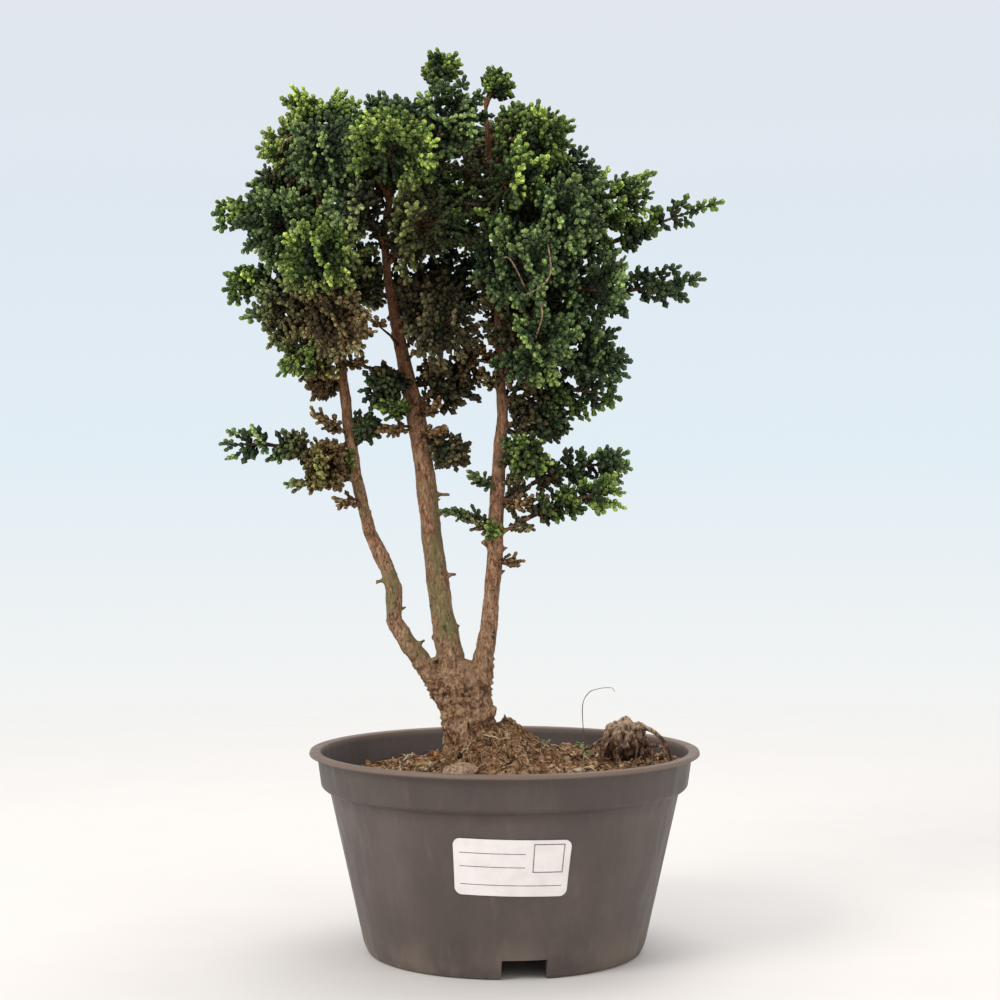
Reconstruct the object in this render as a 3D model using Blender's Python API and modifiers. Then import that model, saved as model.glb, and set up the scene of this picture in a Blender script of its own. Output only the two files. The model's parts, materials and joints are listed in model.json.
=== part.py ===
# Hinoki cypress bonsai: three stems on one short trunk, growing in a low plastic training pot.
# Blender 4.5, metres, +Z up. The origin is on the pot's axis at the level that the pot stands on.
# The driving dimensions below are in millimetres, and MM turns them into metres.

import math
import random

import bmesh
import bpy
from mathutils import Vector
from mathutils.bvhtree import BVHTree

MM = 0.001
GAP = 0.3
SEAT_GAP = 0.35
WELD_DISTANCE = 0.002

# Pot
RIM_RADIUS = 90.0
POT_HEIGHT = 92.0
LIP_THICKNESS = 1.8
BAND_TOP_RADIUS = 86.3
BAND_FOOT_RADIUS = 84.4
BAND_HEIGHT = 17.0
STEP_HEIGHT = 1.6
WALL_TOP_RADIUS = 80.4
WALL_FOOT_RADIUS = 65.0
WALL_THICKNESS = 1.6
FOOT_RING_RADIUS = 63.0
FOOT_RING_WIDTH = 2.4
CHANNEL_HEIGHT = 9.0
FLOOR_THICKNESS = 2.0
CENTRE_FOOT_RADIUS = 20.0
FOOT_HEIGHT = 4.0
LIP_EDGE = 0.4
BAND_EDGE = 1.2
POT_STEPS = 36
NOTCH_WIDTH = 20.0
NOTCH_DEPTH = 14.0
CUT_MARGIN = 2.0
NOTCH_COUNT = 3
FRONT_NOTCH_DEG = 7.5
DRAIN_HOLE_RADIUS = 4.0
DRAIN_HOLE_COUNT = 3
DRAIN_HOLE_SIDES = 10
DRAIN_HOLE_PLACE = 42.0

# Label on the pot's wall
LABEL_WIDTH = 50.0
LABEL_HEIGHT = 25.0
LABEL_CORNER = 3.2
LABEL_MIDDLE_Z = 50.5
LABEL_SIDE_SHIFT = 3.0
LABEL_TURN_DEG = 1.5
LABEL_THICKNESS = 0.4
LABEL_CORNER_BENDS = 3
LABEL_SPANS = 4

# Soil
SOIL_LEVEL = 82.0
SOIL_SLOPE = 0.05
MOUND_HEIGHT = 22.0
MOUND_MIDDLE = (-3.0, -3.0)
MOUND_REACH = (27.0, 24.0)
# Waves of its surface: height, then turns per millimetre along X and Y
LONG_WAVE = (1.1, 0.21, 0.19)
SHORT_WAVE = (0.7, 0.43, -0.37)
SOIL_SECTORS = 30
SOIL_RINGS = 6
SOIL_RING_SPREAD = 0.9
SOIL_EDGE_RISE = 1.0
PLANTING_HOLE_RADIUS = 13.5
PLANTING_HOLE_FLOOR = 52.0
PLANTING_HOLE_SIDES = 20

# Stems: a route of (x, y, z, radius) from the trunk to the top
TRUNK = [
    (-16, 0, 52, 13.0), (-16, 0, 84, 13.0), (-15.4, 0, 97, 12.7), (-17, 0, 106, 12.2),
    (-18, 0, 115, 11.6), (-18, 0, 124, 9.2), (-17, 0, 132.5, 5.5),
]
STEMS = {
    "left": [
        (-25.5, 0, 112, 5.2), (-35, -1, 128, 4.9), (-44, -1, 140, 4.3), (-51, 0, 151, 3.8),
        (-51.2, 0, 166, 3.9), (-54.3, 1, 175, 3.8), (-62.5, 2, 192, 3.1), (-69, 3, 219, 2.9),
        (-72.5, 3, 243, 2.8), (-75, 3, 265, 2.5), (-80, 2, 297, 2.1), (-84, 1, 331, 1.6), (-88, 0, 368, 1.0),
    ],
    "middle": [
        (-22, 1, 116, 7.5), (-25, 1, 133, 6.6), (-29, 2, 156, 5.5), (-33.5, 3, 188, 4.9),
        (-36.8, 3, 219, 4.8), (-41, 3, 246, 4.6), (-48, 4, 277, 3.2), (-54, 4, 309, 2.2),
        (-56, 4, 330, 1.9), (-52, 4, 352, 1.6), (-44, 3, 374, 1.2), (-34, 2, 394, 0.9),
    ],
    "right": [
        (-12.8, 0, 116, 7.0), (-9.8, -1, 133, 5.1), (-6.4, -2, 153, 4.1), (-4.4, -3, 187, 3.8),
        (-3.1, -3, 216, 3.4), (-1, -3, 246, 2.8), (-2, -3, 265, 2.4), (-3, -2, 304, 2.0),
        (-4, -2, 334, 1.7), (-7, -2, 363, 1.4), (-9, -1, 392, 0.9),
    ],
}

# Leafy sprays: (stem, height where the branch leaves the stem, tip, half width, upward bow, tone)
SPRAYS = [
    ("left", 360, (-86, -4, 386), 16, 2, "fresh"),
    ("left", 350, (-98, -14, 368), 15, 5, "fresh"),
    ("left", 335, (-109, 6, 349), 13, 6, "dark"),
    ("left", 318, (-131, -10, 337), 7, 6, "fresh"),
    ("left", 300, (-127, 0, 304), 8, 5, "fresh"),
    ("left", 292, (-107, -18, 290), 16, 3, "dark"),
    ("left", 272, (-92, -24, 272), 13, 3, "fresh"),
    ("left", 262, (-88, 2, 260), 8, 2, "old"),
    ("left", 345, (-78, -52, 360), 19, 6, "dark"),
    ("left", 318, (-106, -44, 327), 19, 6, "dark"),
    ("left", 300, (-80, -58, 312), 19, 6, "fresh"),
    ("left", 280, (-75, -44, 286), 16, 4, "old"),
    ("left", 340, (-91, 46, 370), 20, 6, "dark"),
    ("left", 312, (-107, 48, 336), 19, 6, "fresh"),
    ("left", 290, (-78, 60, 316), 22, 6, "dark"),
    ("left", 222, (-127, -9, 232), 8, 4, "dark"),
    ("left", 214, (-89, -8, 222), 11, 3, "fresh"),
    ("left", 243, (-61, 1, 239), 5, 0, "dark"),
    ("middle", 392, (-27, 0, 408), 7, 2, "fresh"),
    ("middle", 368, (-58, -14, 376), 16, 4, "dark"),
    ("middle", 350, (-50, -62, 356), 21, 8, "fresh"),
    ("middle", 345, (-79, 12, 384), 16, 4, "fresh"),
    ("middle", 360, (-17, -36, 378), 18, 6, "dark"),
    ("middle", 322, (-66, -54, 336), 16, 6, "dark"),
    ("middle", 315, (-24, -60, 328), 20, 6, "fresh"),
    ("middle", 290, (-20, -36, 283), 18, 4, "old"),
    ("middle", 262, (-57, -14, 256), 9, 3, "dark"),
    ("middle", 250, (-13, 3, 265), 14, 3, "old"),
    ("middle", 234, (-21, 0, 225), 8, 2, "old"),
    ("middle", 358, (-50, 50, 377), 22, 6, "dark"),
    ("middle", 325, (-19, 61, 346), 23, 8, "fresh"),
    ("middle", 285, (-26, 46, 308), 22, 6, "dark"),
    ("right", 388, (-2, -1, 400), 7, 1, "fresh"),
    ("right", 372, (25, 1, 374), 11, 5, "fresh"),
    ("right", 360, (22, -38, 362), 18, 6, "fresh"),
    ("right", 345, (42, -5, 352), 16, 6, "dark"),
    ("right", 318, (67, -5, 347), 14, 3, "fresh"),
    ("right", 300, (97, 5, 344), 7, 3, "fresh"),
    ("right", 285, (87, -4, 308), 9, 3, "dark"),
    ("right", 340, (5, -60, 344), 18, 6, "fresh"),
    ("right", 322, (33, -56, 330), 20, 6, "dark"),
    ("right", 305, (11, -63, 308), 19, 6, "dark"),
    ("right", 296, (51, -40, 298), 18, 5, "dark"),
    ("right", 268, (19, -48, 273), 17, 4, "fresh"),
    ("right", 262, (49, -20, 273), 16, 4, "dark"),
    ("right", 252, (50, 2, 255), 12, 4, "fresh"),
    ("right", 240, (28, 6, 245), 13, 3, "dark"),
    ("right", 224, (11, -12, 227), 10, 2, "fresh"),
    ("right", 203, (56, 6, 222), 8, 8, "dark"),
    ("right", 190, (52, -12, 211), 8, 4, "fresh"),
    ("right", 350, (10, 54, 373), 22, 6, "dark"),
    ("right", 328, (45, 54, 350), 22, 6, "fresh"),
    ("right", 285, (24, 62, 312), 24, 7, "dark"),
]

# Spray shape
AXIS_STEPS = 6
WOODY_SHARE = 0.30
BRANCH_FOOT_RADIUS = 1.7
BRANCH_END_RADIUS = 1.2
CORE_SHARE = 0.48
CORE_LEAST = 1.0
CORE_END = 0.85
CORE_SWELL = [(0.48, 1.0), (0.70, 0.75), (CORE_END, 0.2)]
TIP_OVERHANG = 3.0
FIRST_FAN_SHARE = 0.84
LAST_FAN_SHARE = 0.42
FIRST_FAN_LEAN_DEG = 12.0
LAST_FAN_LEAN_DEG = 76.0
ROOT_DEPTH = 1.2
ROOT_DEPTH_SHARE = 0.7
FAN_TURN_JITTER = 0.3
FAN_TWIST = 0.6
LEAN_POWER = 0.8
TIP_FAN_SETBACK = 0.05
FANS_ON_LARGE_SPRAY = 6
FANS_ON_SMALL_SPRAY = 4
LARGE_SPRAY_WIDTH = 19.5
FAN_LOBES = 5
FAN_LENGTH_SHARES = (1.25, 1.55)
FAN_HALF_ANGLE_DEG = 64.0
FAN_NOTCH_SHARE = 0.66
FAN_MIDDLE_SHARE = 0.38
FAN_THICKNESS = 2.4
FAN_CUP = 0.22
FAN_ROUNDNESS = 0.13
FAN_LIFT = 0.12
FAN_MIDDLE_MARGIN = 0.8
LEAST_REACH = 0.15
REACH_STEP = 1.2
GOLDEN_ANGLE = math.radians(137.508)
TERRITORY_GAP = 2.6
SPRAY_REACH = 1.0
STEM_CLEARANCE = 5.0
BRANCH_CLEARANCE = 4.2

# Surface root clump, stone and bark chip
CLUMP_MIDDLE = (56.0, 8.0)
CLUMP_SIZE = (11.5, 9.0, 10.5)
CLUMP_TOP = 106.0
CLUMP_ROOTS = 7
CLUMP_ROOT_REACH = (13.0, 17.0)
CLUMP_ROOT_RADIUS = (1.3, 2.6)
CLUMP_ROOT_TURN = 0.25
CLUMP_KNEE_DROP = (5.0, 8.0)
CLUMP_KNEE_SHARE = 0.62
CLUMP_CROWN_DROP = 3.5
CLUMP_FOOT_DEPTH = 4.0
STONE_MIDDLE = (-20.0, -33.0)
STONE_SIZE = (9.0, 6.5, 5.0)
CHIP_MIDDLE = (-38.0, -4.0)
CHIP_SIZE = (4.6, 3.0, 2.0)
LYING_RISE = 1.0
CHIP_RISE = 2.0
# Dents of a lump: depth, then waves over its half width along X and Y
DENT_ALONG_X = (0.10, 3.1)
DENT_ALONG_Y = (0.08, 4.3)

COLOURS = {
    "pot": ((0.060, 0.052, 0.048), 0.55),
    "label": ((0.86, 0.80, 0.77), 0.60),
    "soil": ((0.100, 0.055, 0.030), 0.95),
    "bark": ((0.200, 0.120, 0.075), 0.90),
    "root": ((0.210, 0.125, 0.075), 0.90),
    "stone": ((0.330, 0.260, 0.190), 0.85),
    "chip": ((0.420, 0.190, 0.060), 0.85),
    "fresh": ((0.110, 0.190, 0.030), 0.60),
    "dark": ((0.030, 0.070, 0.022), 0.60),
    "old": ((0.095, 0.075, 0.030), 0.70),
}


def clear_scene():
    for obj in list(bpy.data.objects):
        bpy.data.objects.remove(obj, do_unlink=True)


def new_collection(name):
    collection = bpy.data.collections.new(name)
    bpy.context.scene.collection.children.link(collection)
    return collection


def material(name):
    """The Principled material of a colour named in COLOURS, made once."""
    found = bpy.data.materials.get(name)
    if found:
        return found
    made = bpy.data.materials.new(name)
    made.use_nodes = True
    colour, roughness = COLOURS[name]
    shader = made.node_tree.nodes["Principled BSDF"]
    shader.inputs["Base Color"].default_value = (*colour, 1.0)
    shader.inputs["Roughness"].default_value = roughness
    shader.inputs["Metallic"].default_value = 0.0
    made.diffuse_color = (*colour, 1.0)
    return made


def new_object(name, mesh, collection):
    obj = bpy.data.objects.new(name, mesh)
    collection.objects.link(obj)
    return obj


def mesh_from(name, points, faces):
    """A mesh from points in millimetres."""
    mesh = bpy.data.meshes.new(name)
    mesh.from_pydata([Vector(p) * MM for p in points], [], faces)
    mesh.update()
    return mesh


def evaluated_mesh(obj):
    """The object's mesh as the viewport shows it, with doubled points welded."""
    bpy.context.view_layer.update()
    graph = bpy.context.evaluated_depsgraph_get()
    mesh = bpy.data.meshes.new_from_object(obj.evaluated_get(graph))
    shape = bmesh.new()
    shape.from_mesh(mesh)
    bmesh.ops.remove_doubles(shape, verts=shape.verts, dist=WELD_DISTANCE * MM)
    shape.to_mesh(mesh)
    shape.free()
    return mesh


def baked(obj, name, collection):
    """The object replaced by a plain mesh object of its evaluated shape."""
    mesh = evaluated_mesh(obj)
    place = obj.matrix_world.copy()
    bpy.data.objects.remove(obj, do_unlink=True)
    made = new_object(name, mesh, collection)
    made.matrix_world = place
    return made


def boolean(obj, operation, others, solver="EXACT"):
    """Joins or cuts obj with every object in a list, applies it, and removes them."""
    group = new_collection(obj.name + "_operands")
    for other in others:
        for owner in list(other.users_collection):
            owner.objects.unlink(other)
        group.objects.link(other)
        other.hide_render = True
        other.display_type = "WIRE"
    modifier = obj.modifiers.new(operation.lower(), "BOOLEAN")
    modifier.operation = operation
    modifier.operand_type = "COLLECTION"
    modifier.collection = group
    modifier.solver = solver
    mesh = evaluated_mesh(obj)
    obj.modifiers.clear()
    obj.data = mesh
    for other in others:
        bpy.data.objects.remove(other, do_unlink=True)
    bpy.data.collections.remove(group)
    return obj


def shade(obj, name):
    obj.data.materials.clear()
    obj.data.materials.append(material(name))
    obj.data.shade_smooth()
    obj.data.set_sharp_from_angle(angle=math.radians(38))
    return obj


def tube(name, route, collection, sides_step=1):
    """A closed tube through a route of (point, radius), in millimetres."""
    curve = bpy.data.curves.new(name, "CURVE")
    curve.dimensions = "3D"
    curve.bevel_depth = MM
    curve.bevel_resolution = sides_step
    curve.use_fill_caps = True
    spline = curve.splines.new("POLY")
    spline.points.add(len(route) - 1)
    for spot, (place, radius) in zip(spline.points, route):
        spot.co = (*(Vector(place) * MM), 1.0)
        spot.radius = radius
    obj = bpy.data.objects.new(name, curve)
    collection.objects.link(obj)
    return baked(obj, name, collection)


# The pot and its label


def wall_radius(z):
    """The outer radius of the wall under the band."""
    share = (z - FOOT_HEIGHT) / (POT_HEIGHT - BAND_HEIGHT - STEP_HEIGHT - FOOT_HEIGHT)
    return WALL_FOOT_RADIUS + share * (WALL_TOP_RADIUS - WALL_FOOT_RADIUS)


def pot_profile():
    """(radius, height) from the middle of the floor, over the rim, to the middle of the underside."""
    floor_top = CHANNEL_HEIGHT + FLOOR_THICKNESS
    band_foot = POT_HEIGHT - BAND_HEIGHT
    step_foot = band_foot - STEP_HEIGHT
    inner_ring = FOOT_RING_RADIUS - FOOT_RING_WIDTH
    return [
        (0.0, FLOOR_THICKNESS),
        (CENTRE_FOOT_RADIUS - 3.0, FLOOR_THICKNESS),
        (CENTRE_FOOT_RADIUS - 1.0, floor_top),
        (wall_radius(floor_top) - WALL_THICKNESS, floor_top),
        (WALL_TOP_RADIUS - WALL_THICKNESS, step_foot),
        (BAND_FOOT_RADIUS - WALL_THICKNESS, band_foot + LIP_EDGE),
        (BAND_TOP_RADIUS - WALL_THICKNESS, POT_HEIGHT - 0.5),
        (BAND_TOP_RADIUS - 0.9, POT_HEIGHT),
        (RIM_RADIUS - LIP_EDGE, POT_HEIGHT),
        (RIM_RADIUS, POT_HEIGHT - LIP_THICKNESS),
        (BAND_TOP_RADIUS, POT_HEIGHT - LIP_THICKNESS - LIP_EDGE),
        (BAND_FOOT_RADIUS, band_foot + BAND_EDGE),
        (BAND_FOOT_RADIUS - BAND_EDGE, band_foot),
        (WALL_TOP_RADIUS, step_foot),
        (WALL_FOOT_RADIUS, FOOT_HEIGHT),
        (FOOT_RING_RADIUS, 0.0),
        (inner_ring, 0.0),
        (inner_ring - LIP_EDGE, CHANNEL_HEIGHT),
        (CENTRE_FOOT_RADIUS + 1.0, CHANNEL_HEIGHT),
        (CENTRE_FOOT_RADIUS, 0.0),
        (0.0, 0.0),
    ]


def turned(name, profile, steps, collection):
    """A solid of revolution round Z from (radius, height) pairs."""
    points = [(radius, 0.0, height) for radius, height in profile]
    edges = [(i, i + 1) for i in range(len(points) - 1)]
    mesh = bpy.data.meshes.new(name)
    mesh.from_pydata([Vector(p) * MM for p in points], edges, [])
    obj = new_object(name, mesh, collection)
    screw = obj.modifiers.new("turn", "SCREW")
    screw.axis = "Z"
    screw.angle = 2 * math.pi
    screw.steps = steps
    screw.render_steps = steps
    screw.use_merge_vertices = True
    screw.merge_threshold = WELD_DISTANCE * MM
    return baked(obj, name, collection)


def box_cutter(name, size, middle, turn, collection):
    bpy.ops.mesh.primitive_cube_add(size=1.0)
    cutter = bpy.context.active_object
    cutter.name = name
    for owner in list(cutter.users_collection):
        owner.objects.unlink(cutter)
    collection.objects.link(cutter)
    cutter.scale = Vector(size) * MM
    cutter.location = Vector(middle) * MM
    cutter.rotation_euler = (0.0, 0.0, turn)
    return cutter


def cylinder_cutter(name, radius, low, high, place, sides, collection):
    bpy.ops.mesh.primitive_cylinder_add(vertices=sides, radius=radius * MM, depth=(high - low) * MM)
    cutter = bpy.context.active_object
    cutter.name = name
    for owner in list(cutter.users_collection):
        owner.objects.unlink(cutter)
    collection.objects.link(cutter)
    cutter.location = Vector((place[0], place[1], (low + high) / 2)) * MM
    return cutter


def make_pot(parts, cutters):
    pot = turned("pot", pot_profile(), POT_STEPS, parts)
    tools = []
    notch_height = CHANNEL_HEIGHT - GAP
    for number in range(NOTCH_COUNT):
        turn = math.radians(FRONT_NOTCH_DEG) + number * 2 * math.pi / NOTCH_COUNT
        reach = FOOT_RING_RADIUS
        place = (reach * math.sin(turn), -reach * math.cos(turn), (notch_height - CUT_MARGIN) / 2)
        size = (NOTCH_WIDTH, NOTCH_DEPTH, notch_height + CUT_MARGIN)
        tools.append(box_cutter(f"notch_{number}", size, place, turn, cutters))
    for number in range(DRAIN_HOLE_COUNT):
        turn = math.radians(FRONT_NOTCH_DEG) + (2 * number + 1) * math.pi / DRAIN_HOLE_COUNT
        place = (DRAIN_HOLE_PLACE * math.sin(turn), -DRAIN_HOLE_PLACE * math.cos(turn))
        low, high = CHANNEL_HEIGHT - CUT_MARGIN, CHANNEL_HEIGHT + FLOOR_THICKNESS + CUT_MARGIN
        name = f"drain_{number}"
        tools.append(cylinder_cutter(name, DRAIN_HOLE_RADIUS, low, high, place, DRAIN_HOLE_SIDES, cutters))
    return shade(boolean(pot, "DIFFERENCE", tools), "pot")


def make_label(parts):
    """A paper label with round corners, bent round the tapered wall."""
    half_width = LABEL_WIDTH / 2
    half_height = LABEL_HEIGHT / 2
    straight = half_width - LABEL_CORNER
    corner = [math.radians(90 * k / LABEL_CORNER_BENDS) for k in range(LABEL_CORNER_BENDS + 1)]
    ends = [straight + LABEL_CORNER * math.cos(angle) for angle in corner]
    inner = [straight * (1 - k / LABEL_SPANS) for k in range(1, LABEL_SPANS + 1)]
    across = ends + inner
    across = [-s for s in across] + [s for s in reversed(across[:-1])]
    turn = math.radians(LABEL_TURN_DEG)
    points = []
    for s in across:
        into = max(0.0, abs(s) - straight)
        height = half_height - LABEL_CORNER + math.sqrt(max(0.0, LABEL_CORNER ** 2 - into ** 2))
        for t in (-height, height):
            sideways = s * math.cos(turn) + t * math.sin(turn) + LABEL_SIDE_SHIFT
            z = LABEL_MIDDLE_Z - s * math.sin(turn) + t * math.cos(turn)
            radius = wall_radius(z) + GAP + LABEL_THICKNESS / 2
            angle = sideways / wall_radius(LABEL_MIDDLE_Z)
            points.append((radius * math.sin(angle), -radius * math.cos(angle), z))
    faces = [(2 * k, 2 * k + 2, 2 * k + 3, 2 * k + 1) for k in range(len(across) - 1)]
    label = new_object("label", mesh_from("label", points, faces), parts)
    sheet = label.modifiers.new("thickness", "SOLIDIFY")
    sheet.thickness = LABEL_THICKNESS * MM
    sheet.offset = 0.0
    return shade(label, "label")


# The soil and what lies in it


def soil_height(x, y):
    """The height of the soil's lumpy surface."""
    across = (x - MOUND_MIDDLE[0]) / MOUND_REACH[0]
    deep = (y - MOUND_MIDDLE[1]) / MOUND_REACH[1]
    mound = math.exp(-across ** 2 - deep ** 2)
    long_lumps = LONG_WAVE[0] * math.sin(LONG_WAVE[1] * x + 1.0) * math.cos(LONG_WAVE[2] * y + 0.4)
    short_lumps = SHORT_WAVE[0] * math.sin(SHORT_WAVE[1] * x + SHORT_WAVE[2] * y)
    return SOIL_LEVEL + SOIL_SLOPE * x + MOUND_HEIGHT * mound + long_lumps + short_lumps


def soil_side():
    """(radius, height) up the soil's side, a little inside the pot's wall and its step."""
    clearance = WALL_THICKNESS + 2 * GAP
    floor = CHANNEL_HEIGHT + FLOOR_THICKNESS + GAP
    band_foot = POT_HEIGHT - BAND_HEIGHT
    return [
        (wall_radius(floor) - clearance, floor),
        (WALL_TOP_RADIUS - clearance, band_foot - STEP_HEIGHT + GAP),
        (BAND_FOOT_RADIUS - clearance, band_foot + SOIL_EDGE_RISE),
    ]


def soil_shape(name, collection):
    """The soil before its hole: a floor, a side that follows the pot, and the surface."""
    points, rings = [], []
    for radius, z in soil_side():
        rings.append([len(points) + k for k in range(SOIL_SECTORS)])
        for k in range(SOIL_SECTORS):
            angle = 2 * math.pi * k / SOIL_SECTORS
            points.append((radius * math.cos(angle), radius * math.sin(angle), z))
    for ring in range(SOIL_RINGS):
        rings.append([len(points) + k for k in range(SOIL_SECTORS)])
        radius = soil_side()[-1][0] * (1 - ring / SOIL_RINGS) ** SOIL_RING_SPREAD
        for k in range(SOIL_SECTORS):
            angle = 2 * math.pi * (k + 0.5 * (ring % 2)) / SOIL_SECTORS
            x, y = radius * math.cos(angle), radius * math.sin(angle)
            points.append((x, y, soil_height(x, y)))
    middle = len(points)
    points.append((0.0, 0.0, soil_height(0.0, 0.0)))
    faces = [tuple(reversed(rings[0]))]
    for low, high in zip(rings, rings[1:]):
        for k in range(SOIL_SECTORS):
            after = (k + 1) % SOIL_SECTORS
            faces.append((low[k], low[after], high[k]))
            faces.append((low[after], high[after], high[k]))
    faces += [(rings[-1][k], rings[-1][(k + 1) % SOIL_SECTORS], middle) for k in range(SOIL_SECTORS)]
    return new_object(name, mesh_from(name, points, faces), collection)


def make_soil(parts, cutters):
    soil = soil_shape("soil", parts)
    low, high = PLANTING_HOLE_FLOOR - GAP, POT_HEIGHT + 2 * MOUND_HEIGHT
    radius = PLANTING_HOLE_RADIUS + GAP
    hole = cylinder_cutter("hole", radius, low, high, TRUNK[0][:2], PLANTING_HOLE_SIDES, cutters)
    return shade(boolean(soil, "DIFFERENCE", [hole]), "soil")


def seat_on_soil(obj, cutters):
    """Cuts away what would reach into the soil, and leaves the gap."""
    bed = soil_shape(obj.name + "_bed", cutters)
    bed.location.z = SEAT_GAP * MM
    return boolean(obj, "DIFFERENCE", [bed])


def lump(name, size, middle, seed, collection, detail=2):
    """A rounded stone-like lump: a sphere stretched and dented by a few waves."""
    bpy.ops.mesh.primitive_ico_sphere_add(subdivisions=detail, radius=1.0)
    obj = bpy.context.active_object
    obj.name = name
    for owner in list(obj.users_collection):
        owner.objects.unlink(obj)
    collection.objects.link(obj)
    for vertex in obj.data.vertices:
        place = vertex.co.copy()
        dent = 1.0 + DENT_ALONG_X[0] * math.sin(DENT_ALONG_X[1] * place.x + seed)
        dent += DENT_ALONG_Y[0] * math.cos(DENT_ALONG_Y[1] * place.y - seed)
        vertex.co = Vector((place.x * size[0], place.y * size[1], place.z * size[2])) * dent * MM
    obj.location = Vector(middle) * MM
    return obj


def make_root_clump(parts, cutters):
    """An old knuckle of root on the soil, with roots arching down from its crown."""
    x, y = CLUMP_MIDDLE
    ground = soil_height(x, y)
    body = lump("root_clump", CLUMP_SIZE, (x, y, CLUMP_TOP - 1.12 * CLUMP_SIZE[2]), 2.0, parts)
    roots = []
    draw = random.Random(4)
    for number in range(CLUMP_ROOTS):
        angle = 2 * math.pi * number / CLUMP_ROOTS + draw.uniform(-CLUMP_ROOT_TURN, CLUMP_ROOT_TURN)
        reach = draw.uniform(*CLUMP_ROOT_REACH)
        thick = draw.uniform(*CLUMP_ROOT_RADIUS)
        out = Vector((math.cos(angle), math.sin(angle), 0.0))
        crown = Vector((x, y, CLUMP_TOP - CLUMP_CROWN_DROP)) + out * 2.0
        knee = Vector((x, y, CLUMP_TOP - draw.uniform(*CLUMP_KNEE_DROP))) + out * reach * CLUMP_KNEE_SHARE
        foot = Vector((x, y, ground - CLUMP_FOOT_DEPTH)) + out * reach
        route = [(crown, thick * 1.2), (knee, thick), (foot, thick * 0.6)]
        roots.append(tube(f"clump_root_{number}", route, cutters, sides_step=0))
    boolean(body, "UNION", roots)
    return shade(seat_on_soil(body, cutters), "root")


def make_stone(parts, cutters):
    x, y = STONE_MIDDLE
    stone = lump("stone", STONE_SIZE, (x, y, soil_height(x, y) + LYING_RISE), 0.5, parts)
    return shade(seat_on_soil(stone, cutters), "stone")


def make_bark_chip(parts, cutters):
    x, y = CHIP_MIDDLE
    chip = lump("bark_chip", CHIP_SIZE, (x, y, soil_height(x, y) + CHIP_RISE), 1.7, parts, detail=1)
    return shade(seat_on_soil(chip, cutters), "chip")


# The wood


def stem_point(stem, z):
    """The place of a stem's centreline at a height."""
    route = STEMS[stem]
    for low, high in zip(route, route[1:]):
        if z <= high[2]:
            share = max(0.0, (z - low[2]) / (high[2] - low[2]))
            return Vector(low[:3]).lerp(Vector(high[:3]), share)
    return Vector(route[-1][:3])


def branch_axis(spray):
    """Points of a branch from its stem to its tip, bowed upwards."""
    stem, leaves_at, tip, _, bow, _ = spray
    start, end = stem_point(stem, leaves_at), Vector(tip)
    middle = (start + end) / 2 + Vector((0.0, 0.0, 2.0 * bow))
    steps = [k / AXIS_STEPS for k in range(AXIS_STEPS + 1)]
    return [start * (1 - t) ** 2 + middle * (2 * t * (1 - t)) + end * t ** 2 for t in steps]


def along(axis, share):
    """The point of a branch axis at a share of its way, from 0 to 1."""
    place = min(max(share, 0.0), 1.0) * (len(axis) - 1)
    index = min(int(place), len(axis) - 2)
    return axis[index].lerp(axis[index + 1], place - index)


def make_wood(parts, cutters):
    """Trunk, three stems and the bare inner part of every branch, grown as one piece."""
    trunk = tube("wood", [(place[:3], place[3]) for place in TRUNK], parts, sides_step=4)
    limbs = []
    for name, route in STEMS.items():
        limbs.append(tube(f"stem_{name}", [(place[:3], place[3]) for place in route], cutters, sides_step=2))
    for number, spray in enumerate(SPRAYS):
        axis = branch_axis(spray)
        route = [(axis[0], BRANCH_FOOT_RADIUS), (along(axis, WOODY_SHARE), BRANCH_END_RADIUS)]
        limbs.append(tube(f"branch_{number}", route, cutters, sides_step=0))
    return shade(boolean(trunk, "UNION", limbs), "bark")


# The leafy sprays


def distance_to_axis(place, axis):
    """The distance from a point to a line through several points."""
    best = 1e9
    for low, high in zip(axis, axis[1:]):
        step = high - low
        share = min(max((place - low).dot(step) / step.length_squared, 0.0), 1.0)
        best = min(best, (place - low - step * share).length)
    return best


class Territories:
    """Says which points of the crown belong to which spray, so that no two sprays meet."""

    def __init__(self):
        self.axes = [branch_axis(spray) for spray in SPRAYS]
        self.widths = [spray[3] for spray in SPRAYS]
        self.stems = [[Vector(place[:3]) for place in route] for route in STEMS.values()]

    def free(self, number, place):
        width = self.widths[number]
        share = distance_to_axis(place, self.axes[number]) / width
        if share > SPRAY_REACH:
            return False
        for other, axis in enumerate(self.axes):
            if other == number:
                continue
            apart = distance_to_axis(place, axis)
            margin = TERRITORY_GAP / 2 * (1 / width + 1 / self.widths[other])
            if apart < BRANCH_CLEARANCE or apart / self.widths[other] < share + margin:
                return False
        return all(distance_to_axis(place, stem) > STEM_CLEARANCE for stem in self.stems)

    def reach(self, number, root, tip):
        """How far from root towards tip the spray may grow, as a share of the way."""
        steps = max(2, int((tip - root).length / REACH_STEP))
        for k in range(1, steps + 1):
            if not self.free(number, root.lerp(tip, k / steps)):
                return (k - 1) / steps
        return 1.0


def forward_along(axis, share):
    return (along(axis, share + 0.05) - along(axis, share - 0.05)).normalized()


def core_radii(number, axis, width, territories):
    """(share of the way, radius) along a spray's core, which swells where the inner foliage is dense."""
    length = sum((high - low).length for low, high in zip(axis, axis[1:]))
    radii = [(WOODY_SHARE + (GAP + 0.1) / length, BRANCH_END_RADIUS)]
    for share, size in CORE_SWELL:
        place = along(axis, share)
        radius = max(CORE_LEAST, size * CORE_SHARE * width)
        forward = forward_along(axis, share)
        side = forward.orthogonal().normalized()
        over = forward.cross(side)
        for k in range(8):
            angle = k * math.pi / 4
            rim = place + (side * math.cos(angle) + over * math.sin(angle)) * radius
            radius = max(CORE_LEAST, radius * territories.reach(number, place, rim))
        radii.append((share, radius))
    return radii


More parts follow.
